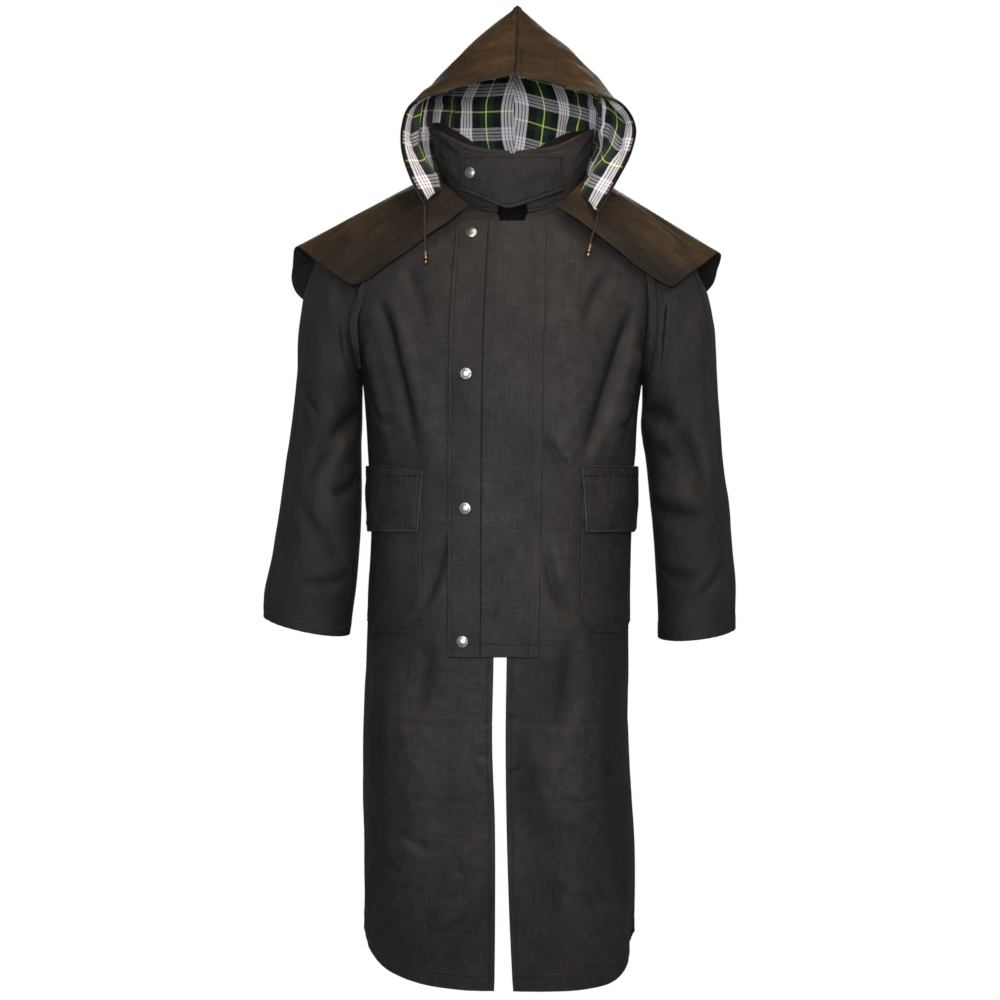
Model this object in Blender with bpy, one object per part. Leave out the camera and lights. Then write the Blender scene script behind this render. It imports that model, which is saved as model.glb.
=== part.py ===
"""Hooded long cape coat in waxed cotton, filled out as if worn, hollow inside.

Metres, +Z up, front towards -Y.  The origin is the middle of the neck at shoulder
height, where a wearer's shoulders carry the coat.  "right" is the wearer's right, -X.
Every cloth piece is a surface worked out from sections, with its wall grown outwards.
"""

import math

import bmesh
import bpy
import numpy as np

# ------------------------------------------------------------------ driving sizes
SEAM = 0.0003            # gap between two pieces at a seam
LIE = 0.0014             # gap between the hood and its lining
POCKET_LIE = 0.0012      # gap between a front and its pocket
FLAP_LIE = 0.0008        # gap between a pocket and its flap
CLOTH = 0.0016           # waxed cotton wall of body, sleeves and pockets
DOUBLE = 0.0026          # two layers sewn together: placket, flaps, tab
COLLAR_WALL = 0.0030     # collar, two layers and its interlining
CAPE_WALL = 0.0016
HOOD_WALL = 0.0012
LINING_WALL = 0.0010
STRAP_WALL = 0.0014
NECK_DROP = 0.0026       # body's neck edge below the collar's lower edge
NECK_X = 0.0139          # the neck sits a little to the wearer's left
SNAP_R = 0.0083          # press stud cap
SNAP_H = 0.0030
CORD_D = 0.0034          # hood drawcord

RIGHT, LEFT = -1, 1


class Table:
    """Rows with named columns, read smoothly along the first column."""

    def __init__(self, columns, rows):
        self.columns = columns.split()
        self.data = {c: np.array([r[i] for r in rows], float) for i, c in enumerate(self.columns)}

    def at(self, x, column):
        return smooth(self.data[self.columns[0]], self.data[column], x)


def smooth(xs, ys, x):
    """Cubic through the points (xs, ys), with each slope taken from its two neighbours."""
    xs, ys = np.asarray(xs, float), np.asarray(ys, float)
    x = np.clip(np.asarray(x, float), xs[0], xs[-1])
    slope = np.empty_like(ys)
    slope[1:-1] = (ys[2:] - ys[:-2]) / (xs[2:] - xs[:-2])
    slope[0] = (ys[1] - ys[0]) / (xs[1] - xs[0])
    slope[-1] = (ys[-1] - ys[-2]) / (xs[-1] - xs[-2])
    i = np.clip(np.searchsorted(xs, x, side="right") - 1, 0, len(xs) - 2)
    h = xs[i + 1] - xs[i]
    t = (x - xs[i]) / h
    return ((1 + 2 * t) * (1 - t) ** 2 * ys[i] + t * (1 - t) ** 2 * h * slope[i]
            + t * t * (3 - 2 * t) * ys[i + 1] + t * t * (t - 1) * h * slope[i + 1])


def ease(t):
    t = np.clip(t, 0, 1)
    return t * t * (3 - 2 * t)


# ------------------------------------------------------------------ collar seam
# round = degrees from centre front to centre back
COLLAR = Table("round seam_z top_z", [
    (0, -0.0300, 0.0590), (30, -0.0200, 0.0690), (60, 0.0040, 0.0930),
    (90, 0.0240, 0.1020), (135, 0.0340, 0.0840), (180, 0.0360, 0.0680)])
COLLAR_SEAM = dict(y=-0.0080, half_x=0.0985, half_y=0.0835, end=13.3)
COLLAR_TOP = dict(y=-0.0100, half_x=0.1200, half_y=0.0950, end=2.3)


def collar_point(side, deg, up):
    """Point of the collar's inner face, up from 0 at its seam to 1 at its top edge."""
    a = np.radians(deg)
    mix = lambda k: COLLAR_SEAM[k] + (COLLAR_TOP[k] - COLLAR_SEAM[k]) * up
    z0, z1 = COLLAR.at(deg, "seam_z"), COLLAR.at(deg, "top_z")
    belly = 0.004 * np.sin(math.pi * up)
    return np.stack(np.broadcast_arrays(
        NECK_X + side * (mix("half_x") + belly) * np.sin(a),
        mix("y") - (mix("half_y") + belly) * np.cos(a),
        z0 + (z1 - z0) * up), -1)


# ------------------------------------------------------------------ armhole
ARMHOLE = {
    RIGHT: dict(tip=(-0.2220, -0.0360), under=(-0.2085, -0.2670), y=0.004, deep=0.0780),
    LEFT: dict(tip=(0.2220, -0.0380), under=(0.2070, -0.2700), y=0.004, deep=0.0780)}


def armhole(side, deg):
    """Edge of the body round the arm: 0 shoulder tip, 90 front, 180 underarm, 270 back."""
    a, h = np.radians(deg), ARMHOLE[side]
    (tx, tz), (ux, uz) = h["tip"], h["under"]
    c, s = np.cos(a), np.sin(a)
    return np.stack([(tx + ux) / 2 + c * (tx - ux) / 2,
                     h["y"] - s * h["deep"],
                     (tz + uz) / 2 + c * (tz - uz) / 2], -1)


# ------------------------------------------------------------------ body sections
# Sections below the underarm.  side_* is the half width at each side seam, front and
# back the depth at centre front and centre back, edge_* the x of each front edge.
BODY = Table("z side_right side_left front back edge_right edge_left", [
    (-1.1610, 0.2040, 0.1950, 0.1550, 0.1500, -0.0132, 0.0147),
    (-1.0500, 0.2055, 0.1960, 0.1545, 0.1500, -0.0122, 0.0095),
    (-0.9200, 0.2060, 0.1910, 0.1530, 0.1470, -0.0125, 0.0056),
    (-0.8000, 0.2060, 0.1845, 0.1525, 0.1430, -0.0165, 0.0042),
    (-0.6900, 0.2030, 0.1860, 0.1520, 0.1390, -0.0146, 0.0056),
    (-0.5850, 0.1995, 0.1860, 0.1500, 0.1330, -0.0132, 0.0070),
    (-0.4800, 0.1955, 0.1880, 0.1480, 0.1260, -0.0125, 0.0090),
    (-0.3750, 0.2010, 0.1965, 0.1490, 0.1240, -0.0118, 0.0110),
    (-0.3150, 0.2040, 0.2005, 0.1500, 0.1270, -0.0110, 0.0130)])

# Sections from underarm to shoulder: the inner end runs up the front edge and then the
# neck seam, the outer end up the armhole.  neck = degrees on the collar seam.
FRONT_YOKE = Table("row edge_right edge_left edge_y edge_z arm round", [
    (0, -0.0105, 0.0145, -0.1500, -0.2750, 180, 0.98),
    (1, -0.0100, 0.0160, -0.1485, -0.2250, 152, 0.86),
    (2, -0.0095, 0.0185, -0.1430, -0.1700, 125, 0.62),
    (3, -0.0090, 0.0220, -0.1320, -0.1200, 98, 0.40),
    (4, -0.0085, 0.0270, -0.1165, -0.0780, 72, 0.26)])
FRONT_NECK = Table("row neck arm round", [
    (5, 13.3, 50, 0.18), (6, 34, 30, 0.12), (7, 60, 13, 0.06), (8, 86, 0, 0.0)])
BACK_YOKE = Table("row cb_y cb_z arm round", [
    (0, 0.1290, -0.2750, 180, 0.98),
    (1, 0.1310, -0.2150, 210, 0.86),
    (2, 0.1310, -0.1550, 238, 0.66),
    (3, 0.1260, -0.0950, 264, 0.46),
    (4, 0.1130, -0.0350, 290, 0.30)])
BACK_NECK = Table("row neck arm round", [
    (5, 180, 310, 0.20), (6, 150, 330, 0.13), (7, 120, 347, 0.06), (8, 94, 360, 0.0)])
SQUARE = 2.35            # superellipse power of the body's sections
HEM_SIDE = 0.0930        # how far the front hem curves up at the side seam
HEM_BACK_SIDE = 0.0780
HEM_REACH = 0.3200       # height over which the hem's curve fades out
HEM = Table("u right left back", [
    (0, 0, 0, 0), (0.17, 0.015, -0.010, 0.03), (0.40, 0.10, 0.0, 0.14), (0.60, 0.28, 0.10, 0.34),
    (0.74, 0.52, 0.33, 0.57), (0.87, 0.78, 0.66, 0.80), (1, 1.0, 1.0, 1.0)])
VENT_TOP = -0.6000       # riding vent at centre back
VENT = Table("z right left", [
    (-1.1580, -0.0300, 0.0290), (-0.9000, -0.0270, 0.0240), (-0.7300, -0.0240, 0.0200),
    (-0.6800, -0.0180, 0.0140), (-0.6400, -0.0070, 0.0060), (-0.6000, 0.0, 0.0)])
BACK_DROP = -0.0120      # the back hem hangs this much lower than the front's sections


class Panel:
    """Body panel: v from hem to shoulder seam, u from its centre edge to side and armhole."""

    KEYS = ("x0", "y0", "z0", "x1", "y1", "z1", "round")

    def __init__(self, side, front):
        self.side, self.front = side, front
        rows = []
        edge = "edge_right" if side == RIGHT else "edge_left"
        half = "side_right" if side == RIGHT else "side_left"
        for i, z in enumerate(BODY.data["z"]):
            width = side * BODY.data[half][i]
            if front:
                rows.append((BODY.data[edge][i], -BODY.data["front"][i], z, width, 0.0, z, 1.0))
            else:
                x = float(VENT.at(z, "right" if side == RIGHT else "left")) if z < VENT_TOP else 0.0
                rows.append((x, BODY.data["back"][i], z, width, 0.0, z, 1.0))
        yoke, neck = (FRONT_YOKE, FRONT_NECK) if front else (BACK_YOKE, BACK_NECK)
        for i in range(len(yoke.data["row"])):
            out = armhole(side, yoke.data["arm"][i])
            if front:
                inner = (yoke.data[edge][i], yoke.data["edge_y"][i], yoke.data["edge_z"][i])
            else:
                inner = (0.0, yoke.data["cb_y"][i], yoke.data["cb_z"][i])
            rows.append((*inner, *out, yoke.data["round"][i]))
        for i in range(len(neck.data["row"])):
            inner = collar_point(side, neck.data["neck"][i], 0.0) - np.array((0, 0, NECK_DROP))
            if not front and neck.data["neck"][i] > 179:
                inner[0] = NECK_X * 0.5
            rows.append((*inner, *armhole(side, neck.data["arm"][i]), neck.data["round"][i]))
        rows = np.array(rows)
        middle = (rows[:, 0:3] + rows[:, 3:6]) / 2
        step = np.linalg.norm(np.diff(middle, axis=0), axis=1)
        self.v = np.concatenate([[0], np.cumsum(step)]) / step.sum()
        self.rows = {k: rows[:, i] for i, k in enumerate(self.KEYS)}
        self.under_v = self.v[len(BODY.data["z"])]
        fade_row = np.interp(BODY.data["z"][0] + HEM_REACH, self.rows["z0"][:len(BODY.data["z"])], self.v[:len(BODY.data["z"])])
        self.fade_v = float(fade_row)

    def v_at(self, z):
        """v of the level section at height z, below the underarm."""
        n = len(BODY.data["z"]) + 1
        return np.interp(z, self.rows["z0"][:n], self.v[:n])

    def section(self, v, count=181):
        p = {k: float(smooth(self.v, self.rows[k], v)) for k in self.KEYS}
        if not self.front and p["z0"] < -0.3:
            z = p["z0"]
            p["x0"] = float(VENT.at(z, "right" if self.side == RIGHT else "left")) if z < VENT_TOP else 0.0
        t = np.linspace(0, 1, count)
        a = t * math.pi / 2
        k = p["round"]
        fx = (1 - k) * t + k * np.sin(a) ** (2 / SQUARE)
        fy = (1 - k) * t + k * (1 - np.cos(a) ** (2 / SQUARE))
        line = np.stack([p["x0"] + (p["x1"] - p["x0"]) * fx,
                         p["y0"] + (p["y1"] - p["y0"]) * fy,
                         p["z0"] + (p["z1"] - p["z0"]) * t], 1)
        run = np.concatenate([[0], np.cumsum(np.linalg.norm(np.diff(line, axis=0), axis=1))])
        return line, run

    def grid(self, us, vs):
        """Points at every u and v, as an array [v, u, 3]."""
        us = np.asarray(us, float)
        out = []
        for v in vs:
            line, run = self.section(v)
            row = np.stack([np.interp(us * run[-1], run, line[:, i]) for i in range(3)], 1)
            fade = max(0.0, 1 - v / self.fade_v) ** 1.5
            if self.front:
                row[:, 2] += HEM_SIDE * HEM.at(us, "right" if self.side == RIGHT else "left") * fade
            else:
                row[:, 2] += (HEM_BACK_SIDE * HEM.at(us, "back") + BACK_DROP) * fade
            out.append(row)
        return np.array(out)

    def length(self, v):
        return self.section(v)[1][-1]


def outward(grid, towards):
    """Unit normals of a grid, turned to face the same way as the vector field towards."""
    du, dv = np.gradient(grid, axis=1), np.gradient(grid, axis=0)
    n = np.cross(du, dv)
    n /= np.linalg.norm(n, axis=-1, keepdims=True) + 1e-12
    flip = np.where((n * towards).sum(-1, keepdims=True) < 0, -1, 1)
    return n * flip


def from_axis(grid, axis=(0.0, 0.0)):
    """Direction from the garment's upright axis to each point."""
    d = grid.copy()
    d[..., 0] -= axis[0]
    d[..., 1] -= axis[1]
    d[..., 2] = 0.02
    return d


# ------------------------------------------------------------------ largest folds
# Soft troughs (depth < 0) and ridges along a line.  On the fronts and back s is metres
# from the centre edge round the body and z the height.
FOLDS = {
    "front_right": Table("n s0 z0 s1 z1 width depth", [
        (0, 0.205, -0.150, 0.165, -0.330, 0.020, -0.0060),
        (1, 0.190, -0.700, 0.205, -1.120, 0.030, -0.0070),
        (2, 0.110, -0.740, 0.120, -1.120, 0.034, 0.0060)]),
    "front_left": Table("n s0 z0 s1 z1 width depth", [
        (0, 0.200, -0.150, 0.150, -0.320, 0.020, -0.0060),
        (1, 0.185, -0.690, 0.190, -1.120, 0.030, -0.0070),
        (2, 0.105, -0.760, 0.110, -1.120, 0.034, 0.0060)]),
    "back_right": Table("n s0 z0 s1 z1 width depth", [
        (0, 0.090, -0.560, 0.110, -1.130, 0.034, -0.0090),
        (1, 0.190, -0.520, 0.205, -1.120, 0.030, 0.0070)]),
    "back_left": Table("n s0 z0 s1 z1 width depth", [
        (0, 0.095, -0.580, 0.105, -1.130, 0.034, -0.0090),
        (1, 0.180, -0.540, 0.195, -1.120, 0.030, 0.0070)])}


def crease(s, h, folds):
    """Height of the folds at each point, from its two coordinates along the cloth."""
    out = np.zeros_like(s)
    d = folds.data
    names = folds.columns[1:5]
    for i in range(len(d["n"])):
        a = np.array([d[names[0]][i], d[names[1]][i]])
        b = np.array([d[names[2]][i], d[names[3]][i]])
        run = b - a
        t = ((s - a[0]) * run[0] + (h - a[1]) * run[1]) / (run @ run)
        away = np.abs((s - a[0]) * run[1] - (h - a[1]) * run[0]) / np.linalg.norm(run)
        along = ease((t + 0.25) / 0.45) * ease((1.25 - t) / 0.45)
        out += d["depth"][i] * np.exp(-(away / d["width"][i]) ** 2) * along
    return out


def body_grid(panel, us, vs):
    """The panel with its folds, and its outward normals."""
    base = panel.grid(us, vs)
    n = outward(base, from_axis(base))
    key = ("front" if panel.front else "back") + ("_right" if panel.side == RIGHT else "_left")
    s = np.array([np.asarray(us) * panel.length(v) for v in vs])
    lift = crease(s, base[..., 2], FOLDS[key])
    quiet = np.ones_like(lift)
    edge = np.minimum(1, (1 - np.asarray(us)) / 0.10)[None, :]
    quiet *= edge
    return base + n * (lift * quiet)[..., None], n


# ------------------------------------------------------------------ sleeves
# Rings from armhole to cuff: outer and inner are the two silhouette points, deep the half
# depth and y the ring's middle.
SLEEVE = {
    RIGHT: Table("ring outer_x outer_z inner_x inner_z deep y", [
        (0, -0.2232, -0.0362, -0.2128, -0.2672, 0.0790, 0.0040),
        (1, -0.2520, -0.0520, -0.2130, -0.2840, 0.0830, 0.0030),
        (2, -0.2770, -0.0880, -0.2131, -0.3020, 0.0835, 0.0000),
        (3, -0.2925, -0.1370, -0.2131, -0.3240, 0.0810, -0.0020),
        (4, -0.3010, -0.1920, -0.2132, -0.3520, 0.0780, -0.0050),
        (5, -0.3070, -0.2560, -0.2132, -0.3900, 0.0740, -0.0080),
        (6, -0.3120, -0.3350, -0.2134, -0.4400, 0.0710, -0.0120),
        (7, -0.3230, -0.4080, -0.2145, -0.4900, 0.0690, -0.0170),
        (8, -0.3330, -0.4700, -0.2170, -0.5320, 0.0670, -0.0230),
        (9, -0.3430, -0.5350, -0.2205, -0.5760, 0.0650, -0.0290),
        (10, -0.3520, -0.5850, -0.2255, -0.6150, 0.0630, -0.0330),
        (11, -0.3540, -0.6225, -0.2300, -0.6490, 0.0610, -0.0360)]),
    LEFT: Table("ring outer_x outer_z inner_x inner_z deep y", [
        (0, 0.2232, -0.0382, 0.2114, -0.2702, 0.0790, 0.0040),
        (1, 0.2530, -0.0530, 0.2114, -0.2900, 0.0830, 0.0030),
        (2, 0.2800, -0.0870, 0.2108, -0.3120, 0.0835, 0.0000),
        (3, 0.2980, -0.1280, 0.2088, -0.3350, 0.0810, -0.0020),
        (4, 0.3090, -0.1800, 0.2105, -0.3600, 0.0780, -0.0050),
        (5, 0.3170, -0.2450, 0.2165, -0.3950, 0.0740, -0.0080),
        (6, 0.3230, -0.3200, 0.2205, -0.4350, 0.0710, -0.0120),
        (7, 0.3285, -0.3950, 0.2245, -0.4800, 0.0690, -0.0170),
        (8, 0.3345, -0.4600, 0.2280, -0.5250, 0.0670, -0.0230),
        (9, 0.3395, -0.5250, 0.2305, -0.5700, 0.0650, -0.0290),
        (10, 0.3430, -0.5850, 0.2325, -0.6100, 0.0630, -0.0330),
        (11, 0.3435, -0.6400, 0.2325, -0.6540, 0.0610, -0.0360)])}
SLEEVE_SQUARE = 2.15
CUFF_DIP = 0.0075        # how far the front of the cuff hangs below its sides
SLEEVE_SEAMS = (28.0, 182.0)     # outer seam, a little to the front, and under seam, degrees
SLEEVE_FOLDS = {
    RIGHT: Table("n s0 r0 s1 r1 width depth", [
        (0, 60, 4.6, 120, 6.2, 0.55, -0.0050),
        (1, 130, 5.6, 70, 7.4, 0.50, -0.0040),
        (2, 250, 5.4, 320, 6.8, 0.60, -0.0060)]),
    LEFT: Table("n s0 r0 s1 r1 width depth", [
        (0, 130, 4.4, 80, 6.0, 0.55, -0.0050),
        (1, 120, 6.0, 50, 7.6, 0.50, -0.0050),
        (2, 240, 5.4, 310, 6.8, 0.60, -0.0060)])}


def sleeve_grid(side, degs, rings):
    """Sleeve points [ring, angle, 3]: 0 degrees outer, 90 front, 180 inner, 270 back."""
    t = SLEEVE[side]
    degs, rings = np.asarray(degs, float), np.asarray(rings, float)
    a = np.radians(degs)[None, :]
    col = lambda k: t.at(rings, k)[:, None]
    c = np.sign(np.cos(a)) * np.abs(np.cos(a)) ** (2 / SLEEVE_SQUARE)
    s = np.sign(np.sin(a)) * np.abs(np.sin(a)) ** (2 / SLEEVE_SQUARE)
    grid = np.stack([(col("outer_x") + col("inner_x")) / 2 + c * (col("outer_x") - col("inner_x")) / 2,
                     col("y") - s * col("deep"),
                     (col("outer_z") + col("inner_z")) / 2 + c * (col("outer_z") - col("inner_z")) / 2], -1)
    grid[..., 2] -= CUFF_DIP * ease((rings - 9.0) / 2.0)[:, None] * np.maximum(np.sin(a), 0) ** 1.3
    centre = np.stack([(col("outer_x") + col("inner_x")) / 2, col("y"), (col("outer_z") + col("inner_z")) / 2], -1)
    n = outward(grid, grid - centre)
    d, r = np.meshgrid(degs % 360 / 40.0, rings)
    f = SLEEVE_FOLDS[side]
    f = Table(" ".join(f.columns), [(i, f.data["s0"][i] / 40, f.data["r0"][i], f.data["s1"][i] / 40,
                                     f.data["r1"][i], f.data["width"][i], f.data["depth"][i]) for i in range(len(f.data["n"]))])
    lift = crease(d, r, f)
    still = ease((rings - 0.2) / 2.5)[:, None] * ease((11.2 - rings) / 2.0)[:, None]
    return grid + n * (lift * still)[..., None], n


# ------------------------------------------------------------------ shoulder cape
# Spokes from neck to cape hem, for the right half; the left adds its own shift.
CAPE = Table("q neck_x neck_y neck_z mid_x mid_y mid_z hem_x hem_y hem_z left_dx left_dz", [
    (0.00, -0.0640, -0.0935, -0.0180, -0.1400, -0.1010, -0.0800, -0.2160, -0.0930, -0.1410, 0.0270, -0.0010),
    (0.14, -0.0850, -0.0770, 0.0020, -0.1640, -0.0840, -0.0480, -0.2440, -0.0830, -0.1200, 0.0220, -0.0030),
    (0.28, -0.1045, -0.0470, 0.0230, -0.1880, -0.0490, -0.0190, -0.2760, -0.0530, -0.0960, 0.0180, -0.0060),
    (0.42, -0.1135, -0.0030, 0.0380, -0.2040, 0.0020, -0.0120, -0.3090, 0.0060, -0.0720, 0.0150, -0.0090),
    (0.55, -0.1050, 0.0430, 0.0450, -0.2000, 0.0640, -0.0130, -0.3170, 0.0520, -0.0950, 0.0080, -0.0030),
    (0.68, -0.0800, 0.0720, 0.0470, -0.1780, 0.1180, -0.0230, -0.3080, 0.0980, -0.1400, -0.0020, 0.0060),
    (0.84, -0.0430, 0.0890, 0.0450, -0.1100, 0.1540, -0.0480, -0.1900, 0.1690, -0.2050, 0.0000, 0.0000),
    (1.00, 0.0000, 0.0945, 0.0440, 0.0000, 0.1620, -0.0560, 0.0000, 0.1760, -0.2250, 0.0000, 0.0000)])
CAPE_SEAM_Q = 0.42


def cape_grid(side, qs, vs):
    """Cape points [v, q, 3]: q from the front edge (0) to centre back (1), v neck to hem."""
    qs, v = np.asarray(qs, float), np.asarray(vs, float)[:, None, None]
    pts = {}
    for part in ("neck", "mid", "hem"):
        p = np.stack([CAPE.at(qs, f"{part}_{axis}") for axis in "xyz"], -1)
        share = dict(neck=0.0, mid=0.5, hem=1.0)[part]
        if side == LEFT:
            p[:, 0] = -p[:, 0] + share * CAPE.at(qs, "left_dx")
            p[:, 2] += share * CAPE.at(qs, "left_dz")
        p[:, 0] += NECK_X * (1 - share)
        pts[part] = p[None]
    grid = ((1 - v) * (1 - 2 * v) * pts["neck"] + 4 * v * (1 - v) * pts["mid"] + v * (2 * v - 1) * pts["hem"])
    up = np.zeros_like(grid)
    up[..., 0] = grid[..., 0]
    up[..., 1] = grid[..., 1]
    up[..., 2] = 0.25
    return grid, outward(grid, up)


# ------------------------------------------------------------------ hood
# Sections from neck edge (0) to top seam (1): front = the opening's edge, back = the
# centre seam, wide = half width of the round back part, which is reached at turn_y and
# from where the front flares to its edge; late = how late the section drops to the front.
HOOD = Table("t right_x left_x front_y front_z left_dz back_y back_z wide left_wide turn_y late lean", [
    (0.00, -0.1160, 0.1390, -0.1060, -0.0160, -0.0150, 0.1040, 0.0495, 0.1180, 0.1180, -0.004, 4.4, 0.000),
    (0.13, -0.1350, 0.1640, -0.1100, 0.0190, -0.0060, 0.1170, 0.0850, 0.1315, 0.1315, -0.014, 2.6, 0.000),
    (0.27, -0.1470, 0.1870, -0.1080, 0.0600, 0.0000, 0.1270, 0.1250, 0.1370, 0.1380, -0.020, 1.7, 0.000),
    (0.42, -0.1470, 0.1930, -0.1020, 0.0980, 0.0000, 0.1320, 0.1680, 0.1370, 0.1410, -0.018, 1.25, 0.000),
    (0.57, -0.1340, 0.1730, -0.0960, 0.1290, 0.0010, 0.1290, 0.2080, 0.1240, 0.1310, -0.010, 1.1, 0.000),
    (0.72, -0.0940, 0.1260, -0.0890, 0.1470, 0.0010, 0.1190, 0.2440, 0.1000, 0.1090, 0.000, 1.05, 0.000),
    (0.87, -0.0390, 0.0680, -0.0820, 0.1640, 0.0005, 0.1030, 0.2800, 0.0730, 0.0830, 0.004, 1.0, 0.0020),
    (0.94, -0.0120, 0.0420, -0.0800, 0.1700, 0.0000, 0.0930, 0.2955, 0.0530, 0.0600, 0.004, 1.0, 0.0040),
    (0.98, 0.0060, 0.0260, -0.0785, 0.1740, 0.0000, 0.0860, 0.3030, 0.0320, 0.0360, 0.003, 1.0, 0.0050),
    (1.00, 0.0160, 0.0160, -0.0780, 0.1760, 0.0000, 0.0820, 0.3050, 0.0000, 0.0000, 0.002, 1.0, 0.0055)])
HOOD_X = 0.0170
HOOD_TUCK = 0.0180       # how far the tails turn in towards the collar
HOOD_SAG = {RIGHT: 0.17, LEFT: 0.09}     # how far the lower edge sags beside the collar
HOOD_TURN = 0.5          # share of a section that lies in the round back part


def hood_grid(side, ts, ss, shy):
    """Hood points [t, s, 3]: t from neck to top seam, s from the centre seam to the opening.

    shy is how far the piece stays from the centre seam.
    """
    ts, s = np.asarray(ts, float)[:, None], np.asarray(ss, float)[None, :]
    col = lambda k: HOOD.at(ts, k)
    front_x = col("right_x" if side == RIGHT else "left_x")
    front_z = col("front_z") + (col("left_dz") if side == LEFT else 0)
    reach = np.abs(front_x - HOOD_X)
    wide = np.maximum(col("wide" if side == RIGHT else "left_wide"), 0)
    a = np.clip(s / HOOD_TURN, 0, 1) * math.pi / 2
    f = np.clip((s - HOOD_TURN) / (1 - HOOD_TURN), 0, 1)
    x = wide * np.sin(a) ** 0.92 + (reach - wide) * f ** 1.1
    x = x - HOOD_TUCK * (1 - ease(ts / 0.25)) * np.exp(-((s - 0.82) / 0.12) ** 2)
    bent = np.where(s < HOOD_TURN, col("back_y") + (col("turn_y") - col("back_y")) * (1 - np.cos(a)),
                    col("turn_y") + (col("front_y") - col("turn_y")) * f)
    straight = col("back_y") + (col("front_y") - col("back_y")) * s
    full = ease(wide / 0.115)
    y = straight + (bent - straight) * full
    sag = HOOD_SAG[side] * (1 - ease(ts / 0.13)) * np.exp(-((s - 0.73) / 0.13) ** 2)
    z = col("back_z") + (front_z - col("back_z")) * (s ** col("late") + sag)
    grid = np.stack(np.broadcast_arrays(HOOD_X + col("lean") * (1 - s) + side * np.maximum(x, shy), y, z), -1)
    away = grid - np.array((HOOD_X, -0.02, 0.06))
    return grid, outward(grid, away)


# ------------------------------------------------------------------ mesh helpers
def material(name, rgb, rough, metal=0.0):
    m = bpy.data.materials.new(name)
    m.use_nodes = True
    shader = m.node_tree.nodes["Principled BSDF"]
    shader.inputs["Base Color"].default_value = (*rgb, 1)
    shader.inputs["Roughness"].default_value = rough
    shader.inputs["Metallic"].default_value = metal
    m.diffuse_color = (*rgb, 1)
    return m


def clear():
    for o in list(bpy.data.objects):
        bpy.data.objects.remove(o)


def faces_of(bm, grid, normals):
    """Quads over a grid of points, wound so that they face along the normals."""
    verts = [[bm.verts.new(p) for p in row] for row in grid]
    rows, cols = len(verts), len(verts[0])
    g = np.asarray(grid)
    mid = (rows // 2, cols // 2)
    i, j = min(mid[0], rows - 2), min(mid[1], cols - 2)
    n = np.cross(g[i, j + 1] - g[i, j], g[i + 1, j] - g[i, j])
    turn = n @ normals[i, j] < 0
    for i in range(rows - 1):
        for j in range(cols - 1):
            quad = [verts[i][j], verts[i][j + 1], verts[i + 1][j + 1], verts[i + 1][j]]
            bm.faces.new(quad[::-1] if turn else quad)


def cloth(name, grids, thick, mat, offset=1.0, merge=False):
    """One cloth piece from one or two grids, with its wall grown to the outside."""
    bm = bmesh.new()
    for grid, normals in grids:
        faces_of(bm, grid, normals)
    if merge:
        bmesh.ops.remove_doubles(bm, verts=bm.verts, dist=1e-5)
    mesh = bpy.data.meshes.new(name)
    bm.to_mesh(mesh)
    bm.free()
    mesh.shade_smooth()
    obj = bpy.data.objects.new(name, mesh)
    bpy.context.scene.collection.objects.link(obj)
    obj.parent = ROOT
    wall = obj.modifiers.new("Wall", "SOLIDIFY")
    wall.thickness = thick
    wall.offset = offset
    wall.use_rim = True
    wall.use_even_offset = False
    obj.data.materials.append(mat)
    return obj


def turned(name, profile, sides, mat):
    """Round piece from (radius, height) pairs, about its own Z."""
    bm = bmesh.new()
    rings = []
    for r, h in profile:
        if r < 1e-6:
            rings.append([bm.verts.new((0, 0, h))])
        else:
            rings.append([bm.verts.new((r * math.cos(2 * math.pi * k / sides), r * math.sin(2 * math.pi * k / sides), h))
                          for k in range(sides)])
    for a, b in zip(rings, rings[1:]):
        for k in range(sides):
            quad = [a[k % len(a)], a[(k + 1) % len(a)], b[(k + 1) % len(b)], b[k % len(b)]]
            corners = list(dict.fromkeys(quad))
            if len(corners) > 2:
                bm.faces.new(corners)
    bmesh.ops.recalc_face_normals(bm, faces=bm.faces)
    mesh = bpy.data.meshes.new(name)
    bm.to_mesh(mesh)
    bm.free()
    mesh.shade_smooth()
    mesh.set_sharp_from_angle(angle=math.radians(40))
    obj = bpy.data.objects.new(name, mesh)
    bpy.context.scene.collection.objects.link(obj)
    obj.parent = ROOT
    obj.data.materials.append(mat)
    return obj


def aim(obj, at, along):
    """Place obj at a point with its own Z along a direction."""
    from mathutils import Vector
    obj.rotation_mode = "QUATERNION"
    obj.rotation_quaternion = Vector(along).to_track_quat("Z", "Y")
    obj.location = at


def tube(name, points, radius, mat):
    """Cord along a smooth line of points."""
    curve = bpy.data.curves.new(name, "CURVE")
    curve.dimensions = "3D"
    curve.bevel_depth = radius
    curve.bevel_resolution = 2
    curve.use_fill_caps = True
    line = curve.splines.new("POLY")
    line.points.add(len(points) - 1)
    for p, q in zip(line.points, points):
        p.co = (*q, 1)
    obj = bpy.data.objects.new(name, curve)
    bpy.context.scene.collection.objects.link(obj)
    obj.parent = ROOT
    obj.data.materials.append(mat)
    return obj


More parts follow.
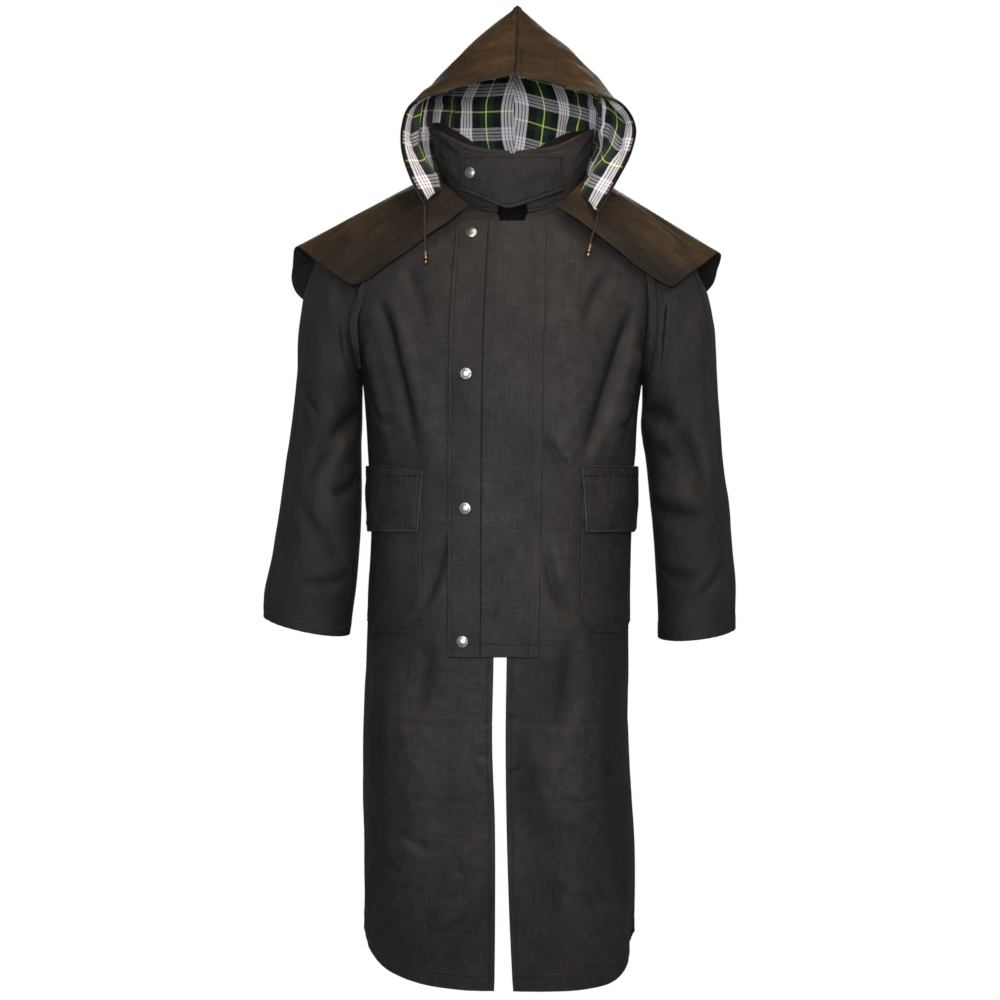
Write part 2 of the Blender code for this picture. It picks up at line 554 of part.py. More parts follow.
# ------------------------------------------------------------------ front surface
class FrontSurface:
    """Depth of both fronts with their folds, read at any x and z for what lies on them."""

    def __init__(self, panels):
        self.side = {}
        us, vs = np.linspace(0, 1, 41), np.linspace(0, 1, 121)
        for side, panel in panels.items():
            grid, _ = body_grid(panel, us, vs)
            self.side[side] = grid

    def y(self, x, z):
        x, z = np.broadcast_arrays(np.asarray(x, float), np.asarray(z, float))
        out = np.empty(x.shape)
        for i in np.ndindex(x.shape):
            out[i] = self._one(x[i], z[i])
        return out

    def _one(self, x, z):
        right = self.side[RIGHT]
        left = self.side[LEFT]
        best = []
        for grid, s in ((right, RIGHT), (left, LEFT)):
            zx = []
            for row in grid:
                xs, zs, ys = row[:, 0] * s, row[:, 2], row[:, 1]
                q = np.clip(x * s, xs[0], xs[-1])
                zx.append((np.interp(q, xs, zs), np.interp(q, xs, ys)))
            zx = np.array(zx)
            best.append((np.interp(z, zx[:, 0], zx[:, 1]), grid[:, 0, 0].mean()))
        (yr, xr), (yl, xl) = best
        return float(min(yr, yl)) if xr < x < xl else float(yr if x <= xr else yl)


# ------------------------------------------------------------------ pieces on the fronts
PLACKET = Table("z left_x right_x", [
    (-0.6770, -0.0790, 0.0500), (-0.5000, -0.0790, 0.0530), (-0.3600, -0.0790, 0.0555),
    (-0.2600, -0.0780, 0.0570), (-0.1700, -0.0750, 0.0590), (-0.0420, -0.0672, 0.0620)])
PLACKET_FLY_X = -0.0325           # stitch line beside the press studs
POCKET = dict(s0=0.1080, s1=0.2450, top=-0.4080, bottom=-0.6430, cut_s=0.0260, cut_z=0.0210)
FLAP = dict(s0=0.1040, s1=0.2520, top=-0.4000, bottom=-0.4960, skew=0.0060)
SNAPS = Table("n x z", [
    (0, -0.0455, -0.0605), (1, -0.0535, -0.2670), (2, -0.0545, -0.4620), (3, -0.0585, -0.6550)])
TAB = dict(left=-0.0600, right=0.0880, top=0.0560, side=0.0070, point_x=0.0080, point=-0.0215)
TAB_SNAP = (-0.0470, 0.0302)
STRAP = Table("n right_x right_y right_z left_x left_y left_z half", [
    (0, -0.2000, -0.0880, -0.1240, 0.2160, -0.0870, -0.1100, 0.0062),
    (1, -0.2110, -0.0905, -0.1560, 0.2190, -0.0905, -0.1500, 0.0062),
    (2, -0.2195, -0.0925, -0.1900, 0.2200, -0.0925, -0.1900, 0.0060),
    (3, -0.2165, -0.0900, -0.2250, 0.2190, -0.0900, -0.2260, 0.0054),
    (4, -0.2120, -0.0800, -0.2560, 0.2160, -0.0800, -0.2600, 0.0046)])


def pocket_grid(panel, n_s, n_z, lift):
    """Patch pocket: a stretch of the front with its lower inner corner cut off."""
    p = POCKET
    rows = []
    for b in np.linspace(0, 1, n_z):
        row = []
        for a in np.linspace(0, 1, n_s):
            s = p["s0"] + (p["s1"] - p["s0"]) * a
            cut = max(0.0, 1 - (s - p["s0"]) / p["cut_s"]) * p["cut_z"]
            out = max(0.0, (s - p["s1"] + 0.05) / 0.05) * 0.014
            low = p["bottom"] + cut + out
            z = low + (p["top"] - low) * b
            row.append((s, z))
        rows.append(row)
    return on_panel(panel, np.array(rows), lift)


def flap_grid(panel, n_s, n_z, lift):
    """Pocket flap, standing off a little more towards its lower edge."""
    p = FLAP
    rows = []
    for b in np.linspace(0, 1, n_z):
        row = []
        for a in np.linspace(0, 1, n_s):
            s = p["s0"] + (p["s1"] - p["s0"]) * a + p["skew"] * (1 - b) * (1 - a)
            drop = max(0.0, (s - p["s1"] + 0.03) / 0.03) * 0.012
            low = p["bottom"] + drop
            row.append((s, low + (p["top"] - low) * b))
        rows.append(row)
    grid, n = on_panel(panel, np.array(rows), lift)
    stand = 0.0035 * np.linspace(1, 0, n_z)[:, None]
    return grid + n * stand[..., None], n


def on_panel(panel, sz, lift):
    """Points at (s, z) on a front, moved out by lift, with their normals."""
    shape = sz.shape[:2]
    base, ahead, above = np.empty((*shape, 3)), np.empty((*shape, 3)), np.empty((*shape, 3))
    e = 0.003
    for i in np.ndindex(shape):
        s, z = sz[i]
        for target, ds, dz in ((base, 0, 0), (ahead, e, 0), (above, 0, e)):
            v = float(panel.v_at(z + dz))
            target[i] = body_grid_point(panel, (s + ds) / panel.length(v), v)
    n = np.cross(ahead - base, above - base)
    n /= np.linalg.norm(n, axis=-1, keepdims=True)
    n *= np.where((n * from_axis(base)).sum(-1, keepdims=True) < 0, -1, 1)
    return base + n * lift, n


def body_grid_point(panel, u, v):
    du, dv = 0.004, 0.002
    grid, _ = body_grid(panel, [u - du, u, u + du], [v - dv, v, v + dv])
    return grid[1, 1]


def level_grid(zs, x_left, x_right, cols, depth):
    """Sheet facing the front, between two edges at each height, at the given depth."""
    rows = []
    for i, z in enumerate(zs):
        xs = np.linspace(x_left[i], x_right[i], cols)
        rows.append(np.stack([xs, depth(xs, z), np.full(cols, z)], 1))
    grid = np.array(rows)
    towards = np.zeros_like(grid)
    towards[..., 1] = -1
    return grid, outward(grid, towards)


# ------------------------------------------------------------------ build
clear()
ROOT = bpy.data.objects.new("coat", None)
bpy.context.scene.collection.objects.link(ROOT)

WAX_DARK = material("waxed_cotton_dark", (0.030, 0.026, 0.023), 0.62)
WAX_BROWN = material("waxed_cotton_brown", (0.070, 0.040, 0.017), 0.58)
TARTAN = material("tartan_lining", (0.20, 0.22, 0.18), 0.85)
STEEL = material("stud_metal", (0.62, 0.61, 0.60), 0.28, 1.0)
BRONZE = material("cord_end_metal", (0.30, 0.17, 0.09), 0.35, 1.0)
CORD = material("drawcord", (0.020, 0.014, 0.011), 0.80)

panels = {(side, front): Panel(side, front) for side in (RIGHT, LEFT) for front in (True, False)}


def levels(panel, below):
    """v of the sections used for the solid: evenly up to the underarm, then the yoke's own."""
    low = np.linspace(0, panel.under_v, below + 1)
    return np.concatenate([low, panel.v[len(BODY.data["z"]) + 1:]])


# fronts: the side and shoulder edges stop half a seam short
us = np.concatenate([np.linspace(0, 0.5, 4), np.linspace(0.5, 1, 7)[1:]])
for side, name in ((RIGHT, "front_right"), (LEFT, "front_left")):
    p = panels[side, True]
    grid, n = body_grid(p, us, levels(p, 9))
    grid[:, -1, 1] -= SEAM / 2
    grid[-1, :, 1] -= SEAM / 2 + 0.0004
    cloth(name, [(grid, n)], CLOTH, WAX_DARK)

# back: two halves that meet at centre back above the riding vent
halves = []
for side in (RIGHT, LEFT):
    p = panels[side, False]
    us_b = np.linspace(0, 1, 9)
    grid, n = body_grid(p, us_b, levels(p, 9))
    grid[:, -1, 1] += SEAM / 2
    grid[-1, :, 1] += SEAM / 2 + 0.0004
    halves.append([grid, n])
for r in range(len(halves[0][0])):
    a, b = halves[0][0][r, 0], halves[1][0][r, 0]
    if np.linalg.norm(a - b) < 0.002:
        halves[0][0][r, 0] = halves[1][0][r, 0] = (a + b) / 2
cloth("back", halves, CLOTH, WAX_DARK, merge=True)

# sleeves in two pieces, a front and a back, seamed at the outside and under the arm
rings = np.linspace(0, 11, 12)
for side, word in ((RIGHT, "right"), (LEFT, "left")):
    a, b = SLEEVE_SEAMS
    for piece, (d0, d1) in (("front", (a + 0.15, b - 0.15)), ("back", (b + 0.15, 360 + a - 0.15))):
        grid, n = sleeve_grid(side, np.linspace(d0, d1, 9 if piece == "front" else 10), rings)
        cloth(f"sleeve_{word}_{piece}", [(grid, n)], CLOTH, WAX_DARK)

# collar: one band from end to end
ups = np.linspace(0, 1, 4)
end = COLLAR_SEAM["end"] + (COLLAR_TOP["end"] - COLLAR_SEAM["end"]) * ups
rows = []
for up, e in zip(ups, end):
    degs = np.linspace(e, 180, 13)
    right = collar_point(RIGHT, degs, up)
    left = collar_point(LEFT, degs[::-1][1:], up)
    rows.append(np.concatenate([right, left]))
collar = np.array(rows)
collar_n = outward(collar, from_axis(collar, (NECK_X, COLLAR_SEAM["y"])))
cloth("collar", [(collar, collar_n)], COLLAR_WALL, WAX_DARK)

# placket over the front edges
front = FrontSurface({RIGHT: panels[RIGHT, True], LEFT: panels[LEFT, True]})
PLACKET_LIE = CLOTH + 0.0027


def placket_y(xs, z):
    return front.y(xs, np.full_like(xs, z)) - PLACKET_LIE


zs = np.linspace(PLACKET.data["z"][0], PLACKET.data["z"][-1], 13)
placket, placket_n = level_grid(zs, PLACKET.at(zs, "left_x"), PLACKET.at(zs, "right_x"), 6, placket_y)
cloth("placket", [(placket, placket_n)], DOUBLE, WAX_DARK)

# pockets and flaps
for side, word in ((RIGHT, "right"), (LEFT, "left")):
    p = panels[side, True]
    grid, n = pocket_grid(p, 8, 7, CLOTH + POCKET_LIE)
    cloth(f"pocket_{word}", [(grid, n)], CLOTH, WAX_DARK)
    grid, n = flap_grid(p, 8, 5, 2 * CLOTH + POCKET_LIE + FLAP_LIE)
    cloth(f"flap_{word}", [(grid, n)], DOUBLE, WAX_DARK)

# throat tab across the collar's ends
TAB_LIE = COLLAR_WALL + 0.0016


def collar_depth(xs, z):
    """Depth of the collar's inner face near centre front."""
    z0, z1 = COLLAR.data["seam_z"][0], COLLAR.data["top_z"][0]
    up = np.clip((z - z0) / (z1 - z0), 0, 1.1)
    mix = lambda k: COLLAR_SEAM[k] + (COLLAR_TOP[k] - COLLAR_SEAM[k]) * up
    belly = 0.004 * math.sin(math.pi * min(up, 1))
    r = np.clip((xs - NECK_X) / (mix("half_x") + belly), -0.98, 0.98)
    return mix("y") - (mix("half_y") + belly) * np.sqrt(1 - r * r)


cols = np.linspace(0, 1, 11)
rows = []
for b in np.linspace(0, 1, 5):
    xs = TAB["left"] + (TAB["right"] - TAB["left"]) * cols
    reach = np.where(xs < TAB["point_x"], (TAB["point_x"] - xs) / (TAB["point_x"] - TAB["left"]),
                     (xs - TAB["point_x"]) / (TAB["right"] - TAB["point_x"]))
    low = TAB["point"] + (TAB["side"] - TAB["point"]) * reach ** 1.15
    z = low + (TAB["top"] - low) * b
    y = np.array([collar_depth(np.array([x]), h)[0] for x, h in zip(xs, z)]) - TAB_LIE
    rows.append(np.stack([xs, y, z], 1))
tab = np.array(rows)
tab_to = np.zeros_like(tab)
tab_to[..., 1] = -1
tab_n = outward(tab, tab_to)
cloth("throat_tab", [(tab, tab_n)], DOUBLE, WAX_DARK)

# cape: two fronts and a back, seamed along the shoulders
vs = np.linspace(0, 1, 8)
backs = []
for side, word in ((RIGHT, "right"), (LEFT, "left")):
    grid, n = cape_grid(side, np.linspace(0, CAPE_SEAM_Q - 0.0008, 8), vs)
    cloth(f"cape_front_{word}", [(grid, n)], CAPE_WALL, WAX_BROWN)
    grid, n = cape_grid(side, np.linspace(CAPE_SEAM_Q + 0.0008, 1, 10), vs)
    backs.append((grid, n))
for r in range(len(vs)):
    middle = (backs[0][0][r, -1] + backs[1][0][r, -1]) / 2
    backs[0][0][r, -1] = backs[1][0][r, -1] = middle
cloth("cape_back", backs, CAPE_WALL, WAX_BROWN, merge=True)

# straps that hold the cape's front corners down to the underarm
for side, word in ((RIGHT, "right"), (LEFT, "left")):
    ks = np.linspace(0, 4, 9)
    mid = np.stack([STRAP.at(ks, f"{word}_{axis}") for axis in "xyz"], -1)
    half = STRAP.at(ks, "half")[:, None]
    across = np.array((1.0, 0.0, 0.0)) * half
    grid = np.stack([mid - across, mid, mid + across], 1)
    towards = np.zeros_like(grid)
    towards[..., 1] = -1
    cloth(f"cape_strap_{word}", [(grid, outward(grid, towards))], STRAP_WALL, WAX_DARK)

# hood: two halves seamed over the top and down the back, each with its lining
HOOD_ROWS = np.array((0, 0.13, 0.27, 0.42, 0.57, 0.68, 0.78, 0.87, 0.94, 0.98, 1.0))
HOOD_COLUMNS = np.linspace(0, 1, 9)
for side, word in ((RIGHT, "right"), (LEFT, "left")):
    grid, n = hood_grid(side, HOOD_ROWS, HOOD_COLUMNS, SEAM)
    cloth(f"hood_{word}", [(grid + n * LIE / 2, n)], HOOD_WALL, WAX_BROWN)
    grid, n = hood_grid(side, np.minimum(HOOD_ROWS, 0.990), np.maximum(HOOD_COLUMNS, 0.006), 0.0022)
    grid[-2:, :, 2] -= np.array((0.0026, 0.0042))[:, None]      # the lining hangs just under the top seam
    grid[-5:, :2, 1] -= 0.0024                                  # and just inside the back seam's peak
    cloth(f"hood_lining_{word}", [(grid - n * LIE / 2, n)], LINING_WALL, TARTAN, offset=-1.0)

# press studs
CAP = [(0.0, 0.0), (SNAP_R, 0.0), (SNAP_R, 0.0011), (SNAP_R * 0.84, 0.0020), (SNAP_R * 0.45, 0.0025), (0.0, SNAP_H)]
for i in range(4):
    x, z = SNAPS.data["x"][i], SNAPS.data["z"][i]
    e = 0.006
    y0 = placket_y(np.array([x - e, x, x + e]), z)
    yu, yd = placket_y(np.array([x]), z + e)[0], placket_y(np.array([x]), z - e)[0]
    normal = np.array(((y0[2] - y0[0]) / (2 * e), -1.0, (yu - yd) / (2 * e)))
    normal /= np.linalg.norm(normal)
    stud = turned(f"stud_{i + 1}", CAP, 14, STEEL)
    aim(stud, np.array((x, y0[1], z)) + normal * (DOUBLE + 0.0008), normal)
x, z = TAB_SNAP
e = 0.006
d = lambda dx, dz: collar_depth(np.array([x + dx]), z + dz)[0] - TAB_LIE
normal = np.array(((d(e, 0) - d(-e, 0)) / (2 * e), -1.0, (d(0, e) - d(0, -e)) / (2 * e)))
normal /= np.linalg.norm(normal)
stud = turned("stud_tab", CAP, 14, STEEL)
aim(stud, np.array((x, d(0, 0), z)) + normal * (DOUBLE + 0.0010), normal)

# hood drawcords: the free ends below the hood's front corners, each in a metal end
DRAW = Table("n right_x right_y right_z left_x left_y left_z", [
    (0, -0.1150, -0.1085, -0.0195, 0.1378, -0.1090, -0.0345),
    (1, -0.1148, -0.1100, -0.0330, 0.1360, -0.1105, -0.0450),
    (2, -0.1145, -0.1125, -0.0510, 0.1325, -0.1130, -0.0570),
    (3, -0.1141, -0.1150, -0.0700, 0.1292, -0.1150, -0.0680),
    (4, -0.1136, -0.1170, -0.0860, 0.1275, -0.1165, -0.0760)])
END = [(0.0, 0.0), (0.0026, 0.0), (0.0030, 0.0012), (0.0030, 0.0075), (0.0044, 0.0115), (0.0050, 0.0150),
       (0.0044, 0.0182), (0.0026, 0.0200), (0.0, 0.0206)]
for word in ("right", "left"):
    ks = np.linspace(0, 4, 9)
    line = np.stack([DRAW.at(ks, f"{word}_{axis}") for axis in "xyz"], -1)
    tube(f"drawcord_{word}", line, CORD_D / 2, CORD)
    down = line[-1] - line[-2]
    down /= np.linalg.norm(down)
    end_piece = turned(f"cord_end_{word}", END, 10, BRONZE)
    aim(end_piece, line[-1] + down * SEAM, down)
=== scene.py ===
"""Looks of the hooded cape coat: waxed-cotton shells on the form of the solids, with their
creases, hems and stitching, a checked cotton hood lining, press studs and drawcord ends.

Metres, +Z up, front towards -Y, "right" is the wearer's right (-X).
"""

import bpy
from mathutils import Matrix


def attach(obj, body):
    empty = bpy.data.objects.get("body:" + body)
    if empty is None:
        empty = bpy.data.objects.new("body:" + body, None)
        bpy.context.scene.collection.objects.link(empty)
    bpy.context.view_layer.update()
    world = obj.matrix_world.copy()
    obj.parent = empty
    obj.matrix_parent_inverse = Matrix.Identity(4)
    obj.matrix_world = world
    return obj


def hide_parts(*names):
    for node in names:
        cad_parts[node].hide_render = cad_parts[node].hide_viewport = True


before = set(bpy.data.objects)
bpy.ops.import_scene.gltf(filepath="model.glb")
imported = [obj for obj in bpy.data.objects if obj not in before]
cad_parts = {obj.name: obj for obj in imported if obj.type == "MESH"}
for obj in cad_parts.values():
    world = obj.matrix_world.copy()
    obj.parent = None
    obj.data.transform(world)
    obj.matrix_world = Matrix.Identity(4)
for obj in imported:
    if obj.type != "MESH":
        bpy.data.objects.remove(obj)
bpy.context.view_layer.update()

import math

import bpy
import numpy as np
from mathutils import Vector

scene = bpy.context.scene

# ------------------------------------------------------------------ sizes
CLOTH = 0.0016
DOUBLE = 0.0026
COLLAR_WALL = 0.0030
CAPE_WALL = 0.0016
HOOD_WALL = 0.0012
LINING_WALL = 0.0010
STRAP_WALL = 0.0014
POCKET_LIE = 0.0012
FLAP_LIE = 0.0008
LIE = 0.0014
PLACKET_LIE = CLOTH + 0.0027
TAB_LIE = COLLAR_WALL + 0.0016
NECK_DROP = 0.0026
NECK_X = 0.0139
CORD_D = 0.0034
RIGHT, LEFT = -1, 1
WORD = {RIGHT: "right", LEFT: "left"}

# ------------------------------------------------------------------ camera
# The photograph is square: 1.5 m across at the coat's middle, seen level from 4.5 m.
camera = bpy.data.objects.new("camera", bpy.data.cameras.new("camera"))
scene.collection.objects.link(camera)
camera.data.sensor_width = 36
camera.data.lens = 108
camera.data.clip_end = 100
camera.location = (-0.0045, -4.5, -0.45)
camera.rotation_euler = (math.pi / 2, 0, 0)
scene.camera = camera


# ------------------------------------------------------------------ tables and curves
class Table:
    """Rows with named columns, read smoothly along the first column."""

    def __init__(self, columns, rows):
        self.columns = columns.split()
        self.data = {c: np.array([r[i] for r in rows], float) for i, c in enumerate(self.columns)}

    def at(self, x, column):
        return smooth(self.data[self.columns[0]], self.data[column], x)


def smooth(xs, ys, x):
    """Cubic through the points (xs, ys), with each slope taken from its two neighbours."""
    xs, ys = np.asarray(xs, float), np.asarray(ys, float)
    x = np.clip(np.asarray(x, float), xs[0], xs[-1])
    slope = np.empty_like(ys)
    slope[1:-1] = (ys[2:] - ys[:-2]) / (xs[2:] - xs[:-2])
    slope[0] = (ys[1] - ys[0]) / (xs[1] - xs[0])
    slope[-1] = (ys[-1] - ys[-2]) / (xs[-1] - xs[-2])
    i = np.clip(np.searchsorted(xs, x, side="right") - 1, 0, len(xs) - 2)
    h = xs[i + 1] - xs[i]
    t = (x - xs[i]) / h
    return ((1 + 2 * t) * (1 - t) ** 2 * ys[i] + t * (1 - t) ** 2 * h * slope[i]
            + t * t * (3 - 2 * t) * ys[i + 1] + t * t * (t - 1) * h * slope[i + 1])


def ease(t):
    t = np.clip(t, 0, 1)
    return t * t * (3 - 2 * t)


def hump(x, width):
    return np.exp(-(x / width) ** 2)


# ------------------------------------------------------------------ form of the collar and armholes
COLLAR = Table("round seam_z top_z", [
    (0, -0.0300, 0.0590), (30, -0.0200, 0.0690), (60, 0.0040, 0.0930),
    (90, 0.0240, 0.1020), (135, 0.0340, 0.0840), (180, 0.0360, 0.0680)])
COLLAR_SEAM = dict(y=-0.0080, half_x=0.0985, half_y=0.0835, end=13.3)
COLLAR_TOP = dict(y=-0.0100, half_x=0.1200, half_y=0.0950, end=2.3)


def collar_point(side, deg, up):
    a = np.radians(deg)
    mix = lambda k: COLLAR_SEAM[k] + (COLLAR_TOP[k] - COLLAR_SEAM[k]) * up
    z0, z1 = COLLAR.at(deg, "seam_z"), COLLAR.at(deg, "top_z")
    belly = 0.004 * np.sin(math.pi * up)
    return np.stack(np.broadcast_arrays(
        NECK_X + side * (mix("half_x") + belly) * np.sin(a),
        mix("y") - (mix("half_y") + belly) * np.cos(a),
        z0 + (z1 - z0) * up), -1)


ARMHOLE = {
    RIGHT: dict(tip=(-0.2220, -0.0360), under=(-0.2085, -0.2670), y=0.004, deep=0.0780),
    LEFT: dict(tip=(0.2220, -0.0380), under=(0.2070, -0.2700), y=0.004, deep=0.0780)}


def armhole(side, deg):
    a, h = np.radians(deg), ARMHOLE[side]
    (tx, tz), (ux, uz) = h["tip"], h["under"]
    c, s = np.cos(a), np.sin(a)
    return np.stack(np.broadcast_arrays((tx + ux) / 2 + c * (tx - ux) / 2,
                                        h["y"] - s * h["deep"],
                                        (tz + uz) / 2 + c * (tz - uz) / 2), -1)


# ------------------------------------------------------------------ form of the body
BODY = Table("z side_right side_left front back edge_right edge_left", [
    (-1.1610, 0.2040, 0.1950, 0.1550, 0.1500, -0.0132, 0.0147),
    (-1.0500, 0.2055, 0.1960, 0.1545, 0.1500, -0.0122, 0.0095),
    (-0.9200, 0.2060, 0.1910, 0.1530, 0.1470, -0.0125, 0.0056),
    (-0.8000, 0.2060, 0.1845, 0.1525, 0.1430, -0.0165, 0.0042),
    (-0.6900, 0.2030, 0.1860, 0.1520, 0.1390, -0.0146, 0.0056),
    (-0.5850, 0.1995, 0.1860, 0.1500, 0.1330, -0.0132, 0.0070),
    (-0.4800, 0.1955, 0.1880, 0.1480, 0.1260, -0.0125, 0.0090),
    (-0.3750, 0.2010, 0.1965, 0.1490, 0.1240, -0.0118, 0.0110),
    (-0.3150, 0.2040, 0.2005, 0.1500, 0.1270, -0.0110, 0.0130)])
FRONT_YOKE = Table("row edge_right edge_left edge_y edge_z arm round", [
    (0, -0.0105, 0.0145, -0.1500, -0.2750, 180, 0.98),
    (1, -0.0100, 0.0160, -0.1485, -0.2250, 152, 0.86),
    (2, -0.0095, 0.0185, -0.1430, -0.1700, 125, 0.62),
    (3, -0.0090, 0.0220, -0.1320, -0.1200, 98, 0.40),
    (4, -0.0085, 0.0270, -0.1165, -0.0780, 72, 0.26)])
FRONT_NECK = Table("row neck arm round", [
    (5, 13.3, 50, 0.18), (6, 34, 30, 0.12), (7, 60, 13, 0.06), (8, 86, 0, 0.0)])
BACK_YOKE = Table("row cb_y cb_z arm round", [
    (0, 0.1290, -0.2750, 180, 0.98),
    (1, 0.1310, -0.2150, 210, 0.86),
    (2, 0.1310, -0.1550, 238, 0.66),
    (3, 0.1260, -0.0950, 264, 0.46),
    (4, 0.1130, -0.0350, 290, 0.30)])
BACK_NECK = Table("row neck arm round", [
    (5, 180, 310, 0.20), (6, 150, 330, 0.13), (7, 120, 347, 0.06), (8, 94, 360, 0.0)])
SQUARE = 2.35
HEM_SIDE = 0.0930
HEM_BACK_SIDE = 0.0780
HEM_REACH = 0.3600
HEM = Table("u right left back", [
    (0, 0, 0, 0), (0.17, 0.015, -0.010, 0.03), (0.40, 0.10, 0.0, 0.14), (0.60, 0.28, 0.10, 0.34),
    (0.74, 0.52, 0.33, 0.57), (0.87, 0.78, 0.66, 0.80), (1, 1.0, 1.0, 1.0)])
HEM_BAND = 0.0210        # height of the stitched hem
VENT_TOP = -0.6000
VENT = Table("z right left", [
    (-1.1580, -0.0300, 0.0290), (-0.9000, -0.0270, 0.0240), (-0.7300, -0.0240, 0.0200),
    (-0.6800, -0.0180, 0.0140), (-0.6400, -0.0070, 0.0060), (-0.6000, 0.0, 0.0)])
BACK_DROP = -0.0120


class Panel:
    """Body panel: v from hem to shoulder seam, u from its centre edge to side and armhole."""

    KEYS = ("x0", "y0", "z0", "x1", "y1", "z1", "round")

    def __init__(self, side, front):
        self.side, self.front = side, front
        rows = []
        edge = "edge_right" if side == RIGHT else "edge_left"
        half = "side_right" if side == RIGHT else "side_left"
        for i, z in enumerate(BODY.data["z"]):
            width = side * BODY.data[half][i]
            if front:
                rows.append((BODY.data[edge][i], -BODY.data["front"][i], z, width, 0.0, z, 1.0))
            else:
                x = float(VENT.at(z, WORD[side])) if z < VENT_TOP else 0.0
                rows.append((x, BODY.data["back"][i], z, width, 0.0, z, 1.0))
        yoke, neck = (FRONT_YOKE, FRONT_NECK) if front else (BACK_YOKE, BACK_NECK)
        for i in range(len(yoke.data["row"])):
            out = armhole(side, yoke.data["arm"][i])
            if front:
                inner = (yoke.data[edge][i], yoke.data["edge_y"][i], yoke.data["edge_z"][i])
            else:
                inner = (0.0, yoke.data["cb_y"][i], yoke.data["cb_z"][i])
            rows.append((*inner, *out, yoke.data["round"][i]))
        for i in range(len(neck.data["row"])):
            inner = collar_point(side, neck.data["neck"][i], 0.0) - np.array((0, 0, NECK_DROP))
            if not front and neck.data["neck"][i] > 179:
                inner[0] = NECK_X * 0.5
            rows.append((*inner, *armhole(side, neck.data["arm"][i]), neck.data["round"][i]))
        rows = np.array(rows)
        middle = (rows[:, 0:3] + rows[:, 3:6]) / 2
        step = np.linalg.norm(np.diff(middle, axis=0), axis=1)
        self.total = step.sum()
        self.v = np.concatenate([[0], np.cumsum(step)]) / self.total
        self.rows = {k: rows[:, i] for i, k in enumerate(self.KEYS)}

    def v_at(self, z):
        n = len(BODY.data["z"]) + 1
        return np.interp(z, self.rows["z0"][:n], self.v[:n])

    def section(self, v, count=181):
        p = {k: float(smooth(self.v, self.rows[k], v)) for k in self.KEYS}
        if not self.front and p["z0"] < -0.3:
            z = p["z0"]
            p["x0"] = float(VENT.at(z, WORD[self.side])) if z < VENT_TOP else 0.0
        t = np.linspace(0, 1, count)
        a = t * math.pi / 2
        k = p["round"]
        fx = (1 - k) * t + k * np.sin(a) ** (2 / SQUARE)
        fy = (1 - k) * t + k * (1 - np.cos(a) ** (2 / SQUARE))
        line = np.stack([p["x0"] + (p["x1"] - p["x0"]) * fx,
                         p["y0"] + (p["y1"] - p["y0"]) * fy,
                         p["z0"] + (p["z1"] - p["z0"]) * t], 1)
        run = np.concatenate([[0], np.cumsum(np.linalg.norm(np.diff(line, axis=0), axis=1))])
        return line, run


def outward(grid, towards):
    """Unit normals of a grid, turned to face the same way as the vector field towards."""
    du, dv = np.gradient(grid, axis=1), np.gradient(grid, axis=0)
    n = np.cross(du, dv)
    n /= np.linalg.norm(n, axis=-1, keepdims=True) + 1e-12
    flip = np.where((n * towards).sum(-1, keepdims=True) < 0, -1, 1)
    return n * flip


def from_axis(grid, axis=(0.0, 0.0)):
    d = grid.copy()
    d[..., 0] -= axis[0]
    d[..., 1] -= axis[1]
    d[..., 2] = 0.02
    return d


class Lattice:
    """Values on a regular grid, read smoothly at fractional rows and columns."""

    def __init__(self, values):
        self.shape = values.shape[:2]
        a = np.concatenate([2 * values[:1] - values[1:2], values, 2 * values[-1:] - values[-2:-1]], 0)
        self.a = np.concatenate([2 * a[:, :1] - a[:, 1:2], a, 2 * a[:, -1:] - a[:, -2:-1]], 1)

    @staticmethod
    def weights(t):
        return (-0.5 * t + t * t - 0.5 * t ** 3, 1 - 2.5 * t * t + 1.5 * t ** 3,
                0.5 * t + 2 * t * t - 1.5 * t ** 3, -0.5 * t * t + 0.5 * t ** 3)

    def at(self, i, j):
        i, j = np.broadcast_arrays(np.asarray(i, float), np.asarray(j, float))
        i, j = np.clip(i, 0, self.shape[0] - 1), np.clip(j, 0, self.shape[1] - 1)
        i0 = np.minimum(i.astype(int), self.shape[0] - 2)
        j0 = np.minimum(j.astype(int), self.shape[1] - 2)
        wi, wj = self.weights(i - i0), self.weights(j - j0)
        out = np.zeros((*i.shape, self.a.shape[2]))
        for m in range(4):
            for k in range(4):
                out += (wi[m] * wj[k])[..., None] * self.a[i0 + m, j0 + k]
        return out


class Surface:
    """A body panel's smooth form without its hem curve, read at any u and v."""

    NU, NV = 97, 361

    def __init__(self, side, front):
        self.side, self.front = side, front
        self.panel = Panel(side, front)
        us, vs = np.linspace(0, 1, self.NU), np.linspace(0, 1, self.NV)
        rows, lengths = [], []
        for v in vs:
            line, run = self.panel.section(v)
            rows.append(np.stack([np.interp(us * run[-1], run, line[:, i]) for i in range(3)], 1))
            lengths.append(run[-1])
        grid = np.array(rows)
        self.points = Lattice(grid)
        self.normals = Lattice(outward(grid, from_axis(grid)))
        self.lengths = np.array(lengths)
        self.grid = grid

    def length(self, v):
        return np.interp(v, np.linspace(0, 1, self.NV), self.lengths)

    def at(self, u, v):
        i, j = np.asarray(v) * (self.NV - 1), np.asarray(u) * (self.NU - 1)
        n = self.normals.at(i, j)
        return self.points.at(i, j), n / np.linalg.norm(n, axis=-1, keepdims=True)


